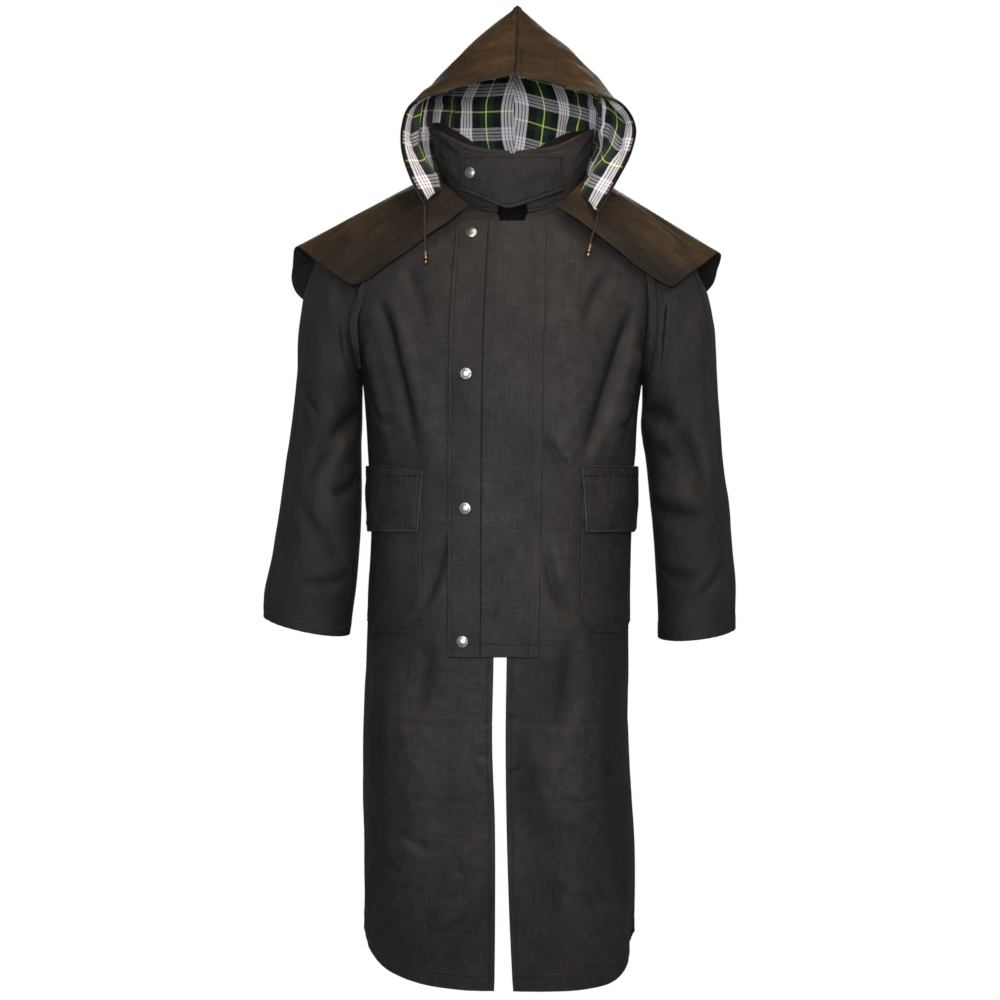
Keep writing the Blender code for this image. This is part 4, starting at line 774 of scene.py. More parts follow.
# ------------------------------------------------------------------ materials
class Shader:
    """Short way to write a node tree."""

    def __init__(self, name):
        self.mat = bpy.data.materials.new(name)
        self.mat.use_nodes = True
        self.tree = self.mat.node_tree
        self.bsdf = self.tree.nodes["Principled BSDF"]

    def node(self, kind, inputs=None, **props):
        n = self.tree.nodes.new(kind)
        for k, v in props.items():
            setattr(n, k, v)
        for k, v in (inputs or {}).items():
            self.put(n.inputs[k], v)
        return n

    def put(self, socket, value):
        if isinstance(value, bpy.types.NodeSocket):
            self.tree.links.new(value, socket)
        else:
            socket.default_value = value

    def math(self, op, a, b=0.0, c=None, clamp=False):
        n = self.node("ShaderNodeMath", {0: a, 1: b}, operation=op, use_clamp=clamp)
        if c is not None:
            self.put(n.inputs[2], c)
        return n.outputs[0]

    def uv(self, scale=(1, 1, 1), turn=0.0, shift=(0, 0, 0)):
        at = self.node("ShaderNodeUVMap", uv_map="cloth").outputs[0]
        return self.node("ShaderNodeMapping", {"Vector": at, "Scale": scale, "Rotation": (0, 0, turn), "Location": shift}).outputs[0]

    def place(self, scale=(1, 1, 1)):
        at = self.node("ShaderNodeTexCoord").outputs["Object"]
        return self.node("ShaderNodeMapping", {"Vector": at, "Scale": scale}).outputs[0]

    def noise(self, vector, scale=1.0, detail=2.0, rough=0.5):
        return self.node("ShaderNodeTexNoise", {"Vector": vector, "Scale": scale, "Detail": detail, "Roughness": rough}).outputs["Fac"]

    def ramp(self, value, stops, interpolation="LINEAR"):
        n = self.node("ShaderNodeValToRGB", {"Fac": value})
        n.color_ramp.interpolation = interpolation
        while len(n.color_ramp.elements) < len(stops):
            n.color_ramp.elements.new(0.5)
        for e, (at, rgb) in zip(n.color_ramp.elements, stops):
            e.position = at
            e.color = (*rgb, 1)
        return n.outputs[0]

    def mix(self, factor, a, b, blend="MIX"):
        n = self.node("ShaderNodeMix", data_type="RGBA", blend_type=blend)
        self.put(n.inputs[0], factor)
        for socket, v in ((n.inputs[6], a), (n.inputs[7], b)):
            self.put(socket, (*v, 1) if isinstance(v, tuple) and len(v) == 3 else v)
        return n.outputs[2]

    def remap(self, value, a, b, c, d):
        n = self.node("ShaderNodeMapRange", {"Value": value, "From Min": a, "From Max": b, "To Min": c, "To Max": d})
        return n.outputs[0]

    def finish(self, colour, rough, height=None, distance=0.0004, strength=0.6, metal=0.0, specular=0.5):
        self.put(self.bsdf.inputs["Base Color"], colour)
        self.put(self.bsdf.inputs["Roughness"], rough)
        self.bsdf.inputs["Metallic"].default_value = metal
        self.bsdf.inputs["Specular IOR Level"].default_value = specular
        if height is not None:
            bump = self.node("ShaderNodeBump", {"Height": height, "Distance": distance, "Strength": strength})
            self.tree.links.new(bump.outputs[0], self.bsdf.inputs["Normal"])
        return self.mat


def waxed(name, deep, plain, pale, top_light_tint=None, seed=0.0, shine=0.18):
    """Waxed cotton: tight plain weave with slubs both ways, wax mottling, pale wear on edges.

    The last argument gives the browner, paler tint painted on faces that look up: painted warm light from above.
    """
    m = Shader(name)
    warp = m.noise(m.uv((560, 22, 1), shift=(seed, 0, 0)), detail=3, rough=0.7)
    weft = m.noise(m.uv((22, 560, 1), shift=(0, seed, 0)), detail=3, rough=0.7)
    slub = m.math("ADD", warp, weft)
    u = m.node("ShaderNodeSeparateXYZ", {0: m.uv((2 * math.pi / 0.0010,) * 2 + (1,))})
    weave = m.math("MULTIPLY", m.math("SINE", u.outputs[0]), m.math("SINE", u.outputs[1]))
    cloud = m.noise(m.uv((9, 7, 1), shift=(seed, seed, 0)), detail=4, rough=0.62)
    spots_ = m.noise(m.uv((62, 48, 1), shift=(seed, 0, 0)), detail=3, rough=0.6)
    crumple = m.noise(m.uv((150, 150, 1)), detail=4, rough=0.65)
    patch = m.math("ADD", m.math("MULTIPLY", cloud, 0.66), m.math("MULTIPLY", spots_, 0.34))
    colour = m.ramp(m.remap(patch, 0.34, 0.66, 0.0, 1.0), [(0.0, deep), (0.5, plain), (1.0, pale)])
    if top_light_tint:
        # painted light: faces that look up take the browner, paler tint of a warm light from above
        look = m.node("ShaderNodeSeparateXYZ", {0: m.node("ShaderNodeNewGeometry").outputs["Normal"]}).outputs[2]
        share = m.remap(m.math("ADD", look, m.math("MULTIPLY", m.math("SUBTRACT", cloud, 0.5), 1.1)), *top_light_tint[0], 0.0, 1.0)
        tint = m.ramp(m.remap(patch, 0.36, 0.64, 0.0, 1.0), [(0.0, top_light_tint[1]), (0.5, top_light_tint[2]), (1.0, top_light_tint[3])])
        colour = m.mix(share, colour, tint)
    streak = m.remap(slub, 0.72, 1.28, 0.46, 1.54)
    colour = m.mix(1.0, colour, m.node("ShaderNodeCombineColor", {0: streak, 1: streak, 2: streak}).outputs[0], "MULTIPLY")
    # The tone attribute: above zero paints the cloth paler, as rubbed wear along edges and as painted light on raised
    # folds and the collar; below zero paints it darker, as painted shade in hollows, stitch grooves and shaded parts,
    # and at the dark dips of seams.
    tone = m.node("ShaderNodeAttribute", attribute_name="tone").outputs["Fac"]
    pale_edge = m.math("MULTIPLY", m.math("MAXIMUM", tone, 0.0), m.remap(spots_, 0.35, 0.65, 0.10, 0.55), clamp=True)
    colour = m.mix(pale_edge, colour, tuple(min(1.0, 2.1 * c + 0.012) for c in pale))
    dark = m.math("MULTIPLY", m.math("MAXIMUM", m.math("MULTIPLY", tone, -1.0), 0.0), 0.70, clamp=True)
    colour = m.mix(dark, colour, tuple(0.25 * c for c in deep))
    rough = m.remap(patch, 0.34, 0.66, 0.74, 0.58)
    height = m.math("ADD", m.math("MULTIPLY", weave, 0.30), m.math("MULTIPLY", slub, 0.9))
    height = m.math("ADD", height, m.math("MULTIPLY", crumple, 0.9))
    dents = m.noise(m.uv((24, 15, 1), shift=(seed, 2.0, 0)), detail=2, rough=0.5)
    height = m.math("ADD", height, m.math("MULTIPLY", dents, 3.0))
    return m.finish(colour, rough, height, distance=0.00042, strength=0.55, specular=shine)


# Check lining: distances in millimetres from the middle of the white band to the yellow line.
BRIGHT = (0.86, 0.87, 0.20)
INK, WHITE = (0.014, 0.013, 0.018), (0.62, 0.59, 0.63)
GREEN, YELLOW, BLACK = (0.010, 0.029, 0.015), (0.60, 0.61, 0.13), (0.005, 0.0055, 0.008)
HALF_SETT = 36.0
WARP_SETT = [(0.0, INK), (0.7, WHITE), (4.6, INK), (6.0, WHITE), (10.6, BLACK), (24.5, GREEN), (34.9, YELLOW)]
WEFT_SETT = [(0.0, INK), (0.8, WHITE), (4.4, INK), (6.0, WHITE), (10.2, BLACK), (24.5, GREEN), (34.6, BRIGHT)]


def checked(name, shift):
    """Yarn-dyed check in a fine twill, brushed: warp stripes lie over weft stripes."""
    m = Shader(name)
    at = m.node("ShaderNodeSeparateXYZ", {0: m.uv((1000, 1000, 1), shift=(*shift, 0))})
    wobble = m.noise(m.uv((30, 30, 1)), detail=2)
    wave = m.math("MULTIPLY", m.math("SUBTRACT", wobble, 0.5), 0.8)
    u, v = m.math("ADD", at.outputs[0], wave), m.math("SUBTRACT", at.outputs[1], wave)
    sett = lambda x, rows: m.ramp(m.math("DIVIDE", m.math("PINGPONG", x, HALF_SETT), HALF_SETT),
                                  [(mm / HALF_SETT, rgb) for mm, rgb in rows], "CONSTANT")
    warp, weft = sett(u, WARP_SETT), sett(v, WEFT_SETT)
    twill = m.math("SINE", m.math("MULTIPLY", m.math("ADD", u, v), 2 * math.pi / 1.5))
    colour = m.mix(m.remap(twill, -0.75, 0.75, 0.05, 0.55), warp, weft)
    fuzz = m.noise(m.uv((900, 900, 1)), detail=2)
    # the tone attribute darkens the check: painted shade deep inside the hood
    dim = m.node("ShaderNodeAttribute", attribute_name="tone").outputs["Fac"]
    shade = m.math("MULTIPLY", m.remap(fuzz, 0.3, 0.7, 0.84, 1.10), m.remap(dim, -1.0, 0.0, 0.0, 1.0))
    colour = m.mix(1.0, colour, m.node("ShaderNodeCombineColor", {0: shade, 1: shade, 2: shade}).outputs[0], "MULTIPLY")
    height = m.math("ADD", m.math("MULTIPLY", twill, 0.5), fuzz)
    m.bsdf.inputs["Sheen Weight"].default_value = 0.04
    m.bsdf.inputs["Sheen Roughness"].default_value = 0.5
    return m.finish(colour, m.remap(fuzz, 0.3, 0.7, 0.80, 0.95), height, distance=0.0003, strength=0.5, specular=0.12)


def metal(name, bright, dull, rough):
    """Plated metal with fine scratches and a duller, stained bloom."""
    m = Shader(name)
    bloom = m.noise(m.place((260, 260, 260)), detail=4, rough=0.65)
    scratch = m.noise(m.place((2600, 500, 900)), detail=3, rough=0.6)
    colour = m.ramp(m.remap(bloom, 0.35, 0.68, 0, 1), [(0.0, dull), (0.45, bright), (1.0, bright)])
    rough = m.math("ADD", m.remap(bloom, 0.3, 0.7, rough + 0.14, rough), m.math("MULTIPLY", scratch, 0.08))
    return m.finish(colour, rough, scratch, distance=0.00003, strength=0.25, metal=1.0)


def thread(name, dark, light):
    m = Shader(name)
    ply = m.noise(m.place((2200, 2200, 2200)), detail=1)
    return m.finish(m.ramp(ply, [(0.35, dark), (0.65, light)]), m.remap(ply, 0.3, 0.7, 0.6, 0.8), ply, distance=0.00008, specular=0.3)


def braid(name, dark, light):
    """Round braided cord."""
    m = Shader(name)
    at = m.node("ShaderNodeSeparateXYZ", {0: m.place((1, 1, 1))})
    turn = m.math("ARCTAN2", at.outputs[1], at.outputs[0])
    z = m.math("MULTIPLY", at.outputs[2], 2 * math.pi / 0.0026)
    a = m.math("SINE", m.math("ADD", z, m.math("MULTIPLY", at.outputs[0], 2 * math.pi / 0.0017)))
    b = m.math("SINE", m.math("SUBTRACT", z, m.math("MULTIPLY", at.outputs[0], 2 * math.pi / 0.0017)))
    plait = m.math("MAXIMUM", a, b)
    fibre = m.noise(m.place((1800, 1800, 700)), detail=2)
    both = m.math("ADD", m.math("MULTIPLY", plait, 0.35), fibre)
    m.tree.nodes.remove(turn.node)
    return m.finish(m.ramp(m.remap(both, 0.1, 1.0, 0, 1), [(0.0, dark), (1.0, light)]), m.remap(fibre, 0.3, 0.7, 0.7, 0.9), both,
                    distance=0.0003, strength=0.7, specular=0.25)


# the second colour set of each cloth is painted warm top light on faces that look up
DARK = waxed("waxed_cotton_dark", (0.0077, 0.0066, 0.0064), (0.0108, 0.0097, 0.0096), (0.0143, 0.0128, 0.0126),
             top_light_tint=((0.10, 1.0), (0.0096, 0.0072, 0.0058), (0.0130, 0.0098, 0.0080), (0.0167, 0.0127, 0.0102)), shine=0.16)
BROWN = waxed("waxed_cotton_brown", (0.0066, 0.0050, 0.0040), (0.0098, 0.0070, 0.0050), (0.0140, 0.0095, 0.0060),
              top_light_tint=((0.10, 0.80), (0.0128, 0.0074, 0.0034), (0.0235, 0.0130, 0.0051), (0.0425, 0.0234, 0.0074)), seed=3.7, shine=0.12)
FACING = waxed("collar_facing", (0.0055, 0.0038, 0.0034), (0.0082, 0.0055, 0.0048), (0.0110, 0.0072, 0.0062), seed=8.1)
THREAD = thread("sewing_thread_dark", (0.006, 0.005, 0.0045), (0.020, 0.017, 0.015))
THREAD_BROWN = thread("sewing_thread_brown", (0.013, 0.008, 0.005), (0.040, 0.025, 0.013))
NICKEL = metal("stud_nickel", (0.27, 0.268, 0.265), (0.13, 0.127, 0.124), 0.33)
BRONZE = metal("cord_end_bronze", (0.17, 0.105, 0.06), (0.055, 0.030, 0.017), 0.26)
CORD = braid("drawcord_braid", (0.005, 0.004, 0.0035), (0.020, 0.015, 0.012))
TARTAN = {RIGHT: checked("check_lining_right", (-19.0, -18.0)), LEFT: checked("check_lining_left", (-18.0, -12.0))}

# ------------------------------------------------------------------ drawcords
DRAW = Table("n right_x right_y right_z left_x left_y left_z", [
    (0, -0.1150, -0.1085, -0.0195, 0.1378, -0.1090, -0.0345),
    (1, -0.1148, -0.1100, -0.0330, 0.1360, -0.1105, -0.0450),
    (2, -0.1145, -0.1125, -0.0510, 0.1325, -0.1130, -0.0570),
    (3, -0.1141, -0.1150, -0.0700, 0.1292, -0.1150, -0.0680),
    (4, -0.1136, -0.1170, -0.0860, 0.1275, -0.1165, -0.0760)])
BALL = [(0.0042 * math.sin(a), 0.0162 - 0.0042 * math.cos(a)) for a in np.linspace(0.62, math.pi, 12)]
END = [(0.0, 0.0), (0.0021, 0.0), (0.0027, 0.0004), (0.0030, 0.0012), (0.0030, 0.0056), (0.0034, 0.0060), (0.0034, 0.0068),
       (0.0030, 0.0072), (0.0030, 0.0080), (0.0036, 0.0096), (0.0046, 0.0108), (0.0049, 0.0116), (0.0046, 0.0122), (0.0030, 0.0126)]
END += BALL
for word in ("right", "left"):
    ks = np.linspace(0, 4, 25)
    line = np.stack([DRAW.at(ks, f"{word}_{axis}") for axis in "xyz"], -1)
    curve = bpy.data.curves.new(f"drawcord_{word}_braid", "CURVE")
    curve.dimensions = "3D"
    curve.bevel_depth = CORD_D / 2
    curve.bevel_resolution = 4
    curve.use_fill_caps = True
    spline = curve.splines.new("POLY")
    spline.points.add(len(line) - 1)
    for p, q in zip(spline.points, line):
        p.co = (*q, 1)
    spline.use_smooth = True
    curve.materials.append(CORD)
    cord = bpy.data.objects.new(f"drawcord_{word}_braid", curve)
    scene.collection.objects.link(cord)
    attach(cord, "root")
    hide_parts(f"drawcord_{word}")
    down = line[-1] - line[-2]
    end = turned(f"cord_end_{word}_metal", END, 28, BRONZE, line[-1] + 0.0003 * down / np.linalg.norm(down), down,
                 f"cord_end_{word}")

# ------------------------------------------------------------------ fronts and back
SURF = {(side, front): Surface(side, front) for side in (RIGHT, LEFT) for front in (True, False)}


def placket_cover(s, h):
    """1 where the placket lies over a front, so that the front stays flat there."""
    return ease((0.062 - s) / 0.02) * ease((h + 0.70) / 0.03)


def front_lift(side, s, h):
    lift = body_lift(f"front_{WORD[side]}", s, h)
    return lift * (1 - 0.92 * placket_cover(s, h))


def body_sheet(side, front):
    surf = SURF[side, front]
    panel = surf.panel
    wide = surf.length(0.25)
    marks = [0.0075] if front else [0.0090]
    us = spots(wide, 0.0042, marks + [wide - 0.0085]) / wide
    vs = spots(panel.total, 0.0046, [HEM_BAND - 0.0022, panel.total - 0.008]) / panel.total
    u, v = np.meshgrid(us, vs)
    p, n = surf.at(u, v)
    fade = 1 - ease((v * panel.total - 0.030) / (HEM_REACH - 0.030))
    if front:
        p[..., 2] += HEM_SIDE * HEM.at(u, WORD[side]) * fade
    else:
        p[..., 2] += (HEM_BACK_SIDE * HEM.at(u, "back") + BACK_DROP) * fade
    s = u * surf.length(v)
    sheet = Sheet(p, from_axis(p), vs, us, s * side, p[..., 2].copy())
    sheet.n = n
    h = p[..., 2]
    to = sheet.to
    lift = front_lift(side, s, h) if front else body_lift(f"back_{WORD[side]}", s, h)
    still = ease(to["end"] / 0.035) * ease(to["high"] / 0.04)
    if not front:
        still *= np.where(h > VENT_TOP, 0.25 + 0.75 * ease(to["start"] / 0.03), 1.0)
    sheet.push(lift * still)
    # painted light and shade of the folds: ridges paler, hollows darker
    sheet.tone += fold_shading_and_wear(lift * still)
    # free hem: the edge swings a little in and out, and the narrow hem ropes
    swing = 0.0045 * noise(s / 0.085, 0.3, 71 + side + 4 * front) * ease(1 - to["low"] / 0.16) * ease(to["end"] / 0.05)
    sheet.push(swing)
    rope = 0.00055 * np.sin((s + 0.35 * to["low"]) * 2 * math.pi / 0.0155 + 2.2 * noise(s / 0.04, 1.0, 5)) * ease(1 - to["low"] / 0.024)
    sheet.push(rope * (0.55 + 0.45 * noise(s / 0.06, 2.0, 6)))
    sheet.settle()
    sheet.band(to["low"], HEM_BAND, 0.0007)
    free = (h < -0.66) if front else (h < VENT_TOP)
    edge = np.where(free, to["start"], 1.0)
    g = hump(edge - 0.0075, 0.0011)
    sheet.push(0.0005 * ease(1 - (edge - 0.0075) / 0.002) * free - 0.0006 * g)
    # painted shade along the drawn-in stitch line of the front edge
    sheet.tone -= 0.8 * g
    sheet.worn(edge)
    sheet.worn(to["low"])
    sheet.seam(to["end"])
    sheet.seam(to["high"])
    if not front:
        sheet.seam(np.where(free, 1.0, to["start"]))
        sheet.band(to["end"], 0.0108, 0.0005)
        sheet.push(np.where(free, 0.0, 1.0) * (0.0005 if side == LEFT else 0.0) * (1 - ease((to["start"] - 0.0078) / 0.0026)))
    sheet.settle()
    return sheet


fronts = {side: body_sheet(side, True) for side in (RIGHT, LEFT)}
backs = {side: body_sheet(side, False) for side in (RIGHT, LEFT)}


def run(a, b, n):
    return np.linspace(a, b, n)


STITCH = 0.00012         # how far stitches stand on the cloth's face
for side in (RIGHT, LEFT):
    w = WORD[side]
    sh = fronts[side]
    panel = SURF[side, True].panel
    wide = SURF[side, True].length(0.25)
    piece = shell(f"front_{w}_cloth", f"front_{w}", [sh], CLOTH, DARK, free=("start", "low"))
    v_slit = float(panel.v_at(-0.672))
    lines = [sh.line(np.full(400, (HEM_BAND - 0.0022) / panel.total), run(0.004, 0.985, 400), CLOTH, STITCH),
             sh.line(run(0.004, v_slit, 500), np.full(500, 0.0075 / wide), CLOTH, STITCH)]
    sewn = stitching(f"stitching_front_{w}", lines, THREAD)

lines = []
for side in (RIGHT, LEFT):
    sh, surf = backs[side], SURF[side, False]
    wide, total = surf.length(0.25), surf.panel.total
    v_vent = float(surf.panel.v_at(VENT_TOP))
    lines += [sh.line(np.full(400, (HEM_BAND - 0.0022) / total), run(0.004, 0.985, 400), CLOTH, STITCH),
              sh.line(run(0.004, v_vent, 400), np.full(400, 0.0090 / wide), CLOTH, STITCH),
              sh.line(run(0.03, 0.70, 600), np.full(600, 1 - 0.0086 / wide), CLOTH, STITCH),
              sh.line(run(0.03, 0.70, 600), np.full(600, 1 - 0.0028 / wide), CLOTH, STITCH)]
    if side == LEFT:
        lines += [sh.line(run(v_vent, 0.985, 500), np.full(500, 0.0072 / wide), CLOTH, STITCH),
                  sh.line(run(v_vent, 0.985, 500), np.full(500, 0.0020 / wide), CLOTH, STITCH)]
back_piece = shell("back_cloth", "back", [backs[RIGHT], backs[LEFT]], CLOTH, DARK, free=("low",), bulge=0.3)
sewn = stitching("stitching_back", lines, THREAD)

# ------------------------------------------------------------------ sleeves
SLEEVE = {
    RIGHT: Table("ring outer_x outer_z inner_x inner_z deep y", [
        (0, -0.2232, -0.0362, -0.2128, -0.2672, 0.0790, 0.0040),
        (1, -0.2520, -0.0520, -0.2130, -0.2840, 0.0830, 0.0030),
        (2, -0.2770, -0.0880, -0.2131, -0.3020, 0.0835, 0.0000),
        (3, -0.2925, -0.1370, -0.2131, -0.3240, 0.0810, -0.0020),
        (4, -0.3010, -0.1920, -0.2132, -0.3520, 0.0780, -0.0050),
        (5, -0.3070, -0.2560, -0.2132, -0.3900, 0.0740, -0.0080),
        (6, -0.3120, -0.3350, -0.2134, -0.4400, 0.0710, -0.0120),
        (7, -0.3230, -0.4080, -0.2145, -0.4900, 0.0690, -0.0170),
        (8, -0.3330, -0.4700, -0.2170, -0.5320, 0.0670, -0.0230),
        (9, -0.3430, -0.5350, -0.2205, -0.5760, 0.0650, -0.0290),
        (10, -0.3520, -0.5850, -0.2255, -0.6150, 0.0630, -0.0330),
        (11, -0.3540, -0.6225, -0.2300, -0.6490, 0.0610, -0.0360)]),
    LEFT: Table("ring outer_x outer_z inner_x inner_z deep y", [
        (0, 0.2232, -0.0382, 0.2114, -0.2702, 0.0790, 0.0040),
        (1, 0.2530, -0.0530, 0.2114, -0.2900, 0.0830, 0.0030),
        (2, 0.2800, -0.0870, 0.2108, -0.3120, 0.0835, 0.0000),
        (3, 0.2980, -0.1280, 0.2088, -0.3350, 0.0810, -0.0020),
        (4, 0.3090, -0.1800, 0.2105, -0.3600, 0.0780, -0.0050),
        (5, 0.3170, -0.2450, 0.2165, -0.3950, 0.0740, -0.0080),
        (6, 0.3230, -0.3200, 0.2205, -0.4350, 0.0710, -0.0120),
        (7, 0.3285, -0.3950, 0.2245, -0.4800, 0.0690, -0.0170),
        (8, 0.3345, -0.4600, 0.2280, -0.5250, 0.0670, -0.0230),
        (9, 0.3395, -0.5250, 0.2305, -0.5700, 0.0650, -0.0290),
        (10, 0.3430, -0.5850, 0.2325, -0.6100, 0.0630, -0.0330),
        (11, 0.3435, -0.6400, 0.2325, -0.6540, 0.0610, -0.0360)])}
SLEEVE_SQUARE = 2.15
CUFF_DIP = 0.0075
SLEEVE_SEAMS = (28.0, 182.0)


def sleeve_sheet(side, d0, d1):
    t = SLEEVE[side]
    wide = (d1 - d0) * DEG
    degs = d0 + spots(wide, 0.0042, [0.0078, wide - 0.0078]) / DEG
    rings = spots(11 * RING, 0.0046, [0.0075, 11 * RING - 0.0200]) / RING
    a = np.radians(degs)[None, :]
    col = lambda k: t.at(rings, k)[:, None]
    c = np.sign(np.cos(a)) * np.abs(np.cos(a)) ** (2 / SLEEVE_SQUARE)
    s = np.sign(np.sin(a)) * np.abs(np.sin(a)) ** (2 / SLEEVE_SQUARE)
    p = np.stack([(col("outer_x") + col("inner_x")) / 2 + c * (col("outer_x") - col("inner_x")) / 2,
                  col("y") - s * col("deep"),
                  (col("outer_z") + col("inner_z")) / 2 + c * (col("outer_z") - col("inner_z")) / 2], -1)
    p[..., 2] -= CUFF_DIP * ease((rings - 9.0) / 2.0)[:, None] * np.maximum(np.sin(a), 0) ** 1.3
    # the sleeve head is sewn to the armhole
    head = armhole(side, degs)[None] - p[:1]
    p = p + head * (1 - ease(rings / 0.45))[:, None, None] * 0.92
    centre = np.stack([(col("outer_x") + col("inner_x")) / 2, col("y"), (col("outer_z") + col("inner_z")) / 2], -1)
    dd, rr = np.meshgrid(degs * DEG, rings * RING)
    sheet = Sheet(p, p - centre, rings, degs, dd, -rr)
    lift = 0.78 * FOLD_GAIN * folds(dd, rr, SLEEVE_FOLDS[side], (DEG, RING))
    seed = 81 + 3 * side
    lift = lift + 0.0015 * noise(dd / 0.06, rr / 0.12, seed) + 0.0008 * noise(dd / 0.028, rr / 0.05, seed + 1) + 0.00026 * noise(dd / 0.012, rr / 0.02, seed + 2)
    to = sheet.to
    lift *= ease((rings - 0.15) / 1.0)[:, None] * ease((11.1 - rings) / 1.2)[:, None]
    lift *= 0.35 + 0.65 * ease(np.minimum(to["start"], to["end"]) / 0.03)
    # gathers of the sleeve head
    lift += 0.0011 * np.sin(dd * 2 * math.pi / 0.0125 + 2.0 * noise(dd / 0.03, 0.5, seed + 4)) * hump(rr - 0.016, 0.014) * (0.5 + 0.5 * noise(dd / 0.04, 3.0, seed + 5))
    # the inner arm stays clear of the body
    inner = hump((dd / DEG) % 360 - 180, 26)
    sheet.push(np.where(lift > 0, lift * (1 - inner), lift))
    # painted shade: the sleeves are painted darker, most on their fronts, the right sleeve all along and the left more
    # towards the cuff
    dark = (0.80 if side == RIGHT else 0.20 + 0.52 * ease((rings[:, None] - 2.0) / 4.0)) * (0.12 + 0.88 * ease(0.30 + 0.9 * np.sin(a)))
    sheet.tone += fold_shading_and_wear(lift, 0.42) - dark
    rope = 0.00045 * np.sin((dd + 0.35 * to["high"]) * 2 * math.pi / 0.0150) * ease(1 - to["high"] / 0.024)
    sheet.push(rope)
    sheet.settle()
    sheet.band(to["high"], 0.0222, 0.0006)
    sheet.worn(to["high"])
    sheet.seam(to["start"])
    sheet.seam(to["end"])
    sheet.seam(to["low"], 0.0012, 0.0030)
    if d0 > 90:
        sheet.band(to["start"], 0.0100, 0.0005)
        sheet.band(to["end"], 0.0100, 0.0005)
    sheet.settle()
    return sheet


for side in (RIGHT, LEFT):
    w = WORD[side]
    a, b = SLEEVE_SEAMS
    for part, (d0, d1) in (("front", (a, b)), ("back", (b, 360 + a))):
        sh = sleeve_sheet(side, d0, d1)
        piece = shell(f"sleeve_{w}_{part}_cloth", f"sleeve_{w}_{part}", [sh], CLOTH, DARK, free=("high",))
        cuff = 11 - 0.0200 / RING
        lines = [sh.line(np.full(200, cuff), run(d0 + 1, d1 - 1, 200), CLOTH, STITCH)]
        if part == "back":
            for d in (0.0026, 0.0078):
                lines += [sh.line(run(0.2, 10.9, 400), np.full(400, d0 + d / DEG), CLOTH, STITCH),
                          sh.line(run(0.2, 10.9, 400), np.full(400, d1 - d / DEG), CLOTH, STITCH)]
        sewn = stitching(f"stitching_sleeve_{w}_{part}", lines, THREAD)

# ------------------------------------------------------------------ collar and throat tab
ups = spots(COLLAR_UP, 0.0034, [0.0040, COLLAR_UP - 0.0060]) / COLLAR_UP
half = np.linspace(0, 1, 111)
collar_rows = []
for up in ups:
    e = COLLAR_SEAM["end"] + (COLLAR_TOP["end"] - COLLAR_SEAM["end"]) * up
    degs = e + (180 - e) * half
    collar_rows.append(np.concatenate([collar_point(RIGHT, degs, up), collar_point(LEFT, degs[::-1][1:], up)]))
collar_p = np.array(collar_rows)
# the sides stand up behind the front edge, more on the right
turn = np.concatenate([8 + 172 * half, (8 + 172 * half)[::-1][1:]])
stand = np.where(np.arange(len(turn)) <= 110, 0.0285 * hump(turn - 128, 32), 0.0230 * hump(turn - 138, 30))
collar_p[..., 2] += stand[None] * ease(ups / 0.9)[:, None]
around = np.concatenate([-(8 + 172 * half), (8 + 172 * half)[::-1][1:]])
turned_s = np.where(np.arange(len(around)) <= 110, 8 + 172 * half[np.minimum(np.arange(len(around)), 110)], 360 - np.abs(around))
cs, ch = np.meshgrid(turned_s * COLLAR_DEG, ups * COLLAR_UP)
collar_sheet = Sheet(collar_p, from_axis(collar_p, (NECK_X, COLLAR_SEAM["y"])), ups, np.arange(len(around)), cs, ch)
fold_s = np.where(np.arange(len(around)) <= 110, around, np.abs(around))
fs = np.broadcast_to((fold_s * COLLAR_DEG)[None], ch.shape)
lift = folds(np.array(fs), ch, COLLAR_FOLDS, (COLLAR_DEG, COLLAR_UP))
lift = lift + 0.0007 * noise(cs / 0.05, ch / 0.05, 131) + 0.0004 * noise(cs / 0.02, ch / 0.018, 132)
tab_cover = ease((38 - np.abs(fs) / COLLAR_DEG) / 10)
lift *= (1 - 0.9 * tab_cover) * ease(ch / 0.012)
collar_sheet.push(np.minimum(lift, 0.0016))
# painted light and shade: fold ridges paler and hollows darker, and the whole collar painted paler, most on its sides
# away from the tab
collar_sheet.tone += fold_shading_and_wear(2.0 * lift) + 0.10 + 0.42 * (1 - tab_cover)
# the top edge rolls outwards a little at the sides and dips unevenly
roll = ease((ch / COLLAR_UP - 0.80) / 0.20) * (1 - tab_cover)
collar_sheet.push(0.0012 * roll)
collar_sheet.settle()
to = collar_sheet.to
collar_sheet.groove(to["high"], 0.0060)
collar_sheet.groove(to["low"], 0.0040)
collar_sheet.worn(to["high"])
collar_sheet.settle()
collar_piece = shell("collar_cloth", "collar", [collar_sheet], COLLAR_WALL, DARK, inner_mat=FACING, bulge=0.5)
n_around = len(around) - 1
sewn = stitching("stitching_collar", [
    collar_sheet.line(np.full(600, 1 - 0.0060 / COLLAR_UP), run(0.8, n_around - 0.8, 600), COLLAR_WALL, STITCH),
    collar_sheet.line(np.full(600, 0.0040 / COLLAR_UP), run(0.8, n_around - 0.8, 600), COLLAR_WALL, STITCH)], THREAD)

TAB = dict(left=-0.0600, right=0.0880, top=0.0560, side=0.0070, point_x=0.0080, point=-0.0215)
TAB_SNAP = (-0.0470, 0.0302)


def collar_depth(x, z):
    """Depth of the collar's inner face near centre front."""
    z0, z1 = COLLAR.data["seam_z"][0], COLLAR.data["top_z"][0]
    up = np.clip((z - z0) / (z1 - z0), 0, 1.1)
    mix = lambda k: COLLAR_SEAM[k] + (COLLAR_TOP[k] - COLLAR_SEAM[k]) * up
    belly = 0.004 * np.sin(math.pi * np.minimum(up, 1))
    r = np.clip((x - NECK_X) / (mix("half_x") + belly), -0.98, 0.98)
    return mix("y") - (mix("half_y") + belly) * np.sqrt(1 - r * r)


